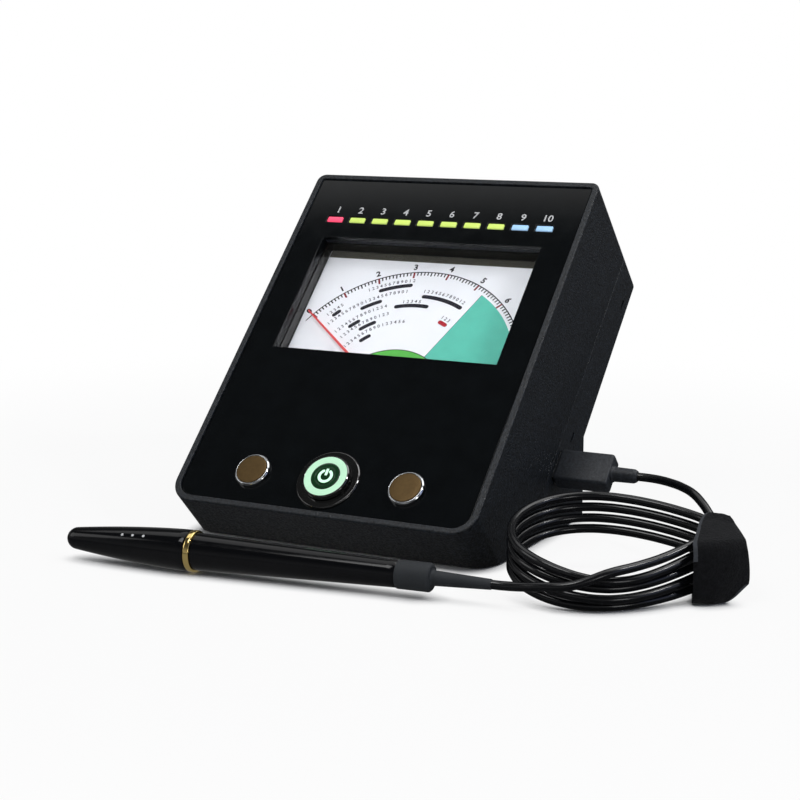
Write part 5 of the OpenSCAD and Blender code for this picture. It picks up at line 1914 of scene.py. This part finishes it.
@dataclass
class Probe:
    """The pen-shaped probe that lies in front of the case.

    Places run from the tip of its cap. A lip, a chamfer or a foot is a width and a length.
    """

    tip_place: Point2 = (-88.8, -104.0)
    axis_height: float = 8.2
    turn_deg: float = 5.4
    segments: int = 96
    smooth_deg: float = 35.0
    cap_length: float = 55.0
    cap_mouth: float = 8.15
    cap_tip: float = 3.9
    cap_swell: float = 1.6
    # Where the cap's profile has points: close together round the tip, then evenly
    tip_points: tuple[float, ...] = (0, 0.08, 0.25, 0.6, 1.1, 1.8, 2.6, 3.4, 4.4)
    cap_points: tuple[int, int, int] = (6, 54, 2)
    lip: Point2 = (0.25, 0.5)
    lip_sunk: float = 0.02
    # Radii of the hollow's mouth, radius and place at its step, and the place of its end
    hollow_mouth: Point2 = (6.75, 6.52)
    hollow_step: tuple[Point2, ...] = ((6.52, 45.4), (6.1, 45.0))
    hollow_end: float = 6.0
    cap_wall: float = 2.3
    ring_radius: float = 8.2
    ring_start: float = 55.3
    ring_length: float = 2.5
    ring_chamfer: Point2 = (0.25, 0.5)
    ring_rounding: Rounding = (0.25, 4)
    ring_gap: float = 0.05
    barrel_length: float = 83.7
    barrel_front: float = 7.3
    barrel_rear: float = 5.1
    # The barrel's profile has a point at each step, up to a rest before its rear
    barrel_step: int = 4
    barrel_rest: int = 2
    barrel_chamfer: Point2 = (0.3, 0.4)
    rear_chamfer: Point2 = (0.25, 0.4)
    rear_swell: float = 0.02
    neck_radius: float = 6.45
    neck_length: float = 8.0
    front_bore: float = 4.15
    rear_bore: float = 3.3
    bore_step: float = 60.3
    rear_wall: float = 3.0
    collar_length: float = 13.5
    collar_radius: float = 5.45
    collar_front: Point2 = (0.1, 0.5)
    collar_rear: float = 0.8
    collar_rounding: Rounding = (0.4, 4)
    collar_segments: int = 72
    sleeve_length: float = 23.0
    sleeve_radius: float = 2.9
    sleeve_foot: Point2 = (0.5, 0.6)
    sleeve_end: float = 2.0
    sleeve_chamfer: Point2 = (0.2, 0.3)
    dots: Point3 = (27.3, 32.1, 37.0)
    dot_turn_deg: float = 46.0
    dot_radius: float = 0.55
    dot_segments: int = 20
    dot_sunk: float = 0.03
    dot_height: float = 0.07

    def place(self) -> Matrix:
        """Gives the frame along the probe, from the tip of its cap.

        Returns:
            The matrix from that frame to the row frame, in metres.
        """
        tip = Matrix.Translation([v * MM for v in (*self.tip_place, self.axis_height)])
        turn = Matrix.Rotation(math.radians(self.turn_deg), 4, "Z")
        return tip @ turn @ Matrix.Rotation(math.pi / 2, 4, "Y")

    def cap_radius(self, z: float) -> float:
        """Gives the cap's radius.

        Args:
            z: Distance from the cap's tip.

        Returns:
            The radius.
        """
        swell = 1 - (1 - z / self.cap_length) ** self.cap_swell
        tip = min(1.0, z / self.cap_tip)
        return (self.cap_tip + (self.cap_mouth - self.cap_tip) * swell) * math.sqrt(1 - (1 - tip) ** 2)

    def build(self) -> None:
        """Turns the cap, the ring, the barrel and the collar, and dresses the nose."""
        self.cap()
        self.cap_dots()
        self.barrel()
        compress("probe_tip_spring", STEEL, Body.TIP, -self.place().col[2].to_3d())
        dress(NOSE_ABS, "probe_nose")
        dress(COPPER, "probe_tip")

    def cap(self) -> None:
        """Turns the hollow cap."""
        length, mouth, (wide, tall) = self.cap_length, self.cap_mouth, self.lip
        outer = [(self.cap_radius(z), z) for z in (*self.tip_points, *range(*self.cap_points))]
        lip = [(mouth - self.lip_sunk, length - tall), (mouth - wide, length), (self.hollow_mouth[0], length),
               (self.hollow_mouth[1], length - wide)]
        end = [(self.cap_radius(self.hollow_end) - self.cap_wall, self.hollow_end), (0, self.hollow_end)]
        plain = Turning(self.place(), None, self.segments, self.smooth_deg)
        plain.put("probe_cap_shell", [*outer, *lip, *self.hollow_step, *end],
                  PROBE_LACQUER, Body.CAP, "probe_black", "probe_cap")

    def cap_dots(self) -> None:
        """Sets three dots on the cap."""
        dots = bmesh.new()
        turn = math.radians(self.dot_turn_deg)
        # Across the probe's own axes: its Y is level, its X points down
        out = Vector((-math.sin(turn), -math.cos(turn), 0))
        facing = out.to_track_quat("Z", "Y").to_matrix().to_4x4()
        for z in self.dots:
            spot = Vector((0, 0, z)) + out * (self.cap_radius(z) - self.dot_sunk)
            made = bmesh.ops.create_circle(dots, cap_ends=True, radius=self.dot_radius,
                                           segments=self.dot_segments,
                                           matrix=Matrix.Translation(spot) @ facing)
            faces = list({f for v in made["verts"] for f in v.link_faces})
            raised = bmesh.ops.extrude_face_region(dots, geom=faces)
            moved = [g for g in raised["geom"] if isinstance(g, bmesh.types.BMVert)]
            bmesh.ops.translate(dots, vec=out * self.dot_height, verts=moved)
        mesh = to_mesh(dots, "probe_cap_dots", self.place())
        put("probe_cap_dots", mesh, INK_WHITE, Body.CAP)

    def barrel(self) -> None:
        """Turns the ring, the barrel with its neck, and the collar with its sleeve."""
        start, end = self.ring_start, self.ring_start + self.ring_length
        radius, bore, (wide, tall) = self.ring_radius, self.neck_radius + self.ring_gap, self.ring_chamfer
        Turning(self.place(), self.ring_rounding, self.segments).put("probe_gold_ring", [
            (bore, start), (radius - wide, start), (radius, start + tall), (radius, end - tall),
            (radius - wide, end), (bore, end), (bore, start)], GOLD, Body.CASE, "gold_trim", "probe_ring")
        neck, rear = self.cap_length - self.neck_length, end + self.barrel_length
        front, back, (wide, tall) = self.barrel_front, self.barrel_rear, self.barrel_chamfer
        slope = (back - front) / self.barrel_length
        steps = range(self.barrel_step, int(self.barrel_length) - self.barrel_rest, self.barrel_step)
        wall = rear - self.rear_wall
        Turning(self.place(), None, self.segments, self.smooth_deg).put("probe_barrel_body", [
            (self.front_bore, neck), (self.neck_radius - wide, neck), (self.neck_radius, neck + tall),
            (self.neck_radius, end), (front - wide, end), (front, end + tall),
            *((front + slope * t, end + t) for t in steps),
            (back + self.rear_swell, rear - self.rear_chamfer[1]), (back - self.rear_chamfer[0], rear),
            (0, rear), (0, wall), (self.rear_bore, wall), (self.rear_bore, self.bore_step),
            (self.front_bore, self.bore_step), (self.front_bore, neck)],
            PROBE_LACQUER, Body.CASE, "probe_black", "probe_barrel")
        tail, radius, sleeve = rear + self.collar_length, self.collar_radius, self.sleeve_radius
        last = tail + self.sleeve_length
        soft = Turning(self.place(), self.collar_rounding, self.collar_segments, self.smooth_deg)
        soft.put("probe_collar_sleeve", [
            (0, rear), (radius - self.collar_front[0], rear), (radius, rear + self.collar_front[1]),
            (radius, tail - self.collar_rear), (radius - self.collar_rear, tail),
            (sleeve + self.sleeve_foot[0], tail), (sleeve, tail + self.sleeve_foot[1]),
            (self.sleeve_end, last - self.sleeve_chamfer[1]),
            (self.sleeve_end - self.sleeve_chamfer[0], last), (0, last)],
            COLLAR_RUBBER, Body.CASE, "grey_collar", "probe_collar")


def main() -> None:
    """Builds the sub-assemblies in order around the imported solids."""
    logging.basicConfig(level=logging.INFO, format="%(name)s: %(message)s")
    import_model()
    for maker in (Studio(), Lead(), CaseShells(), FrontPanel(), Meter(), SideButton(Side.LEFT),
                  SideButton(Side.RIGHT), PowerButton(), Electronics(), Probe()):
        maker.build()


if __name__ == "__main__":
    main()
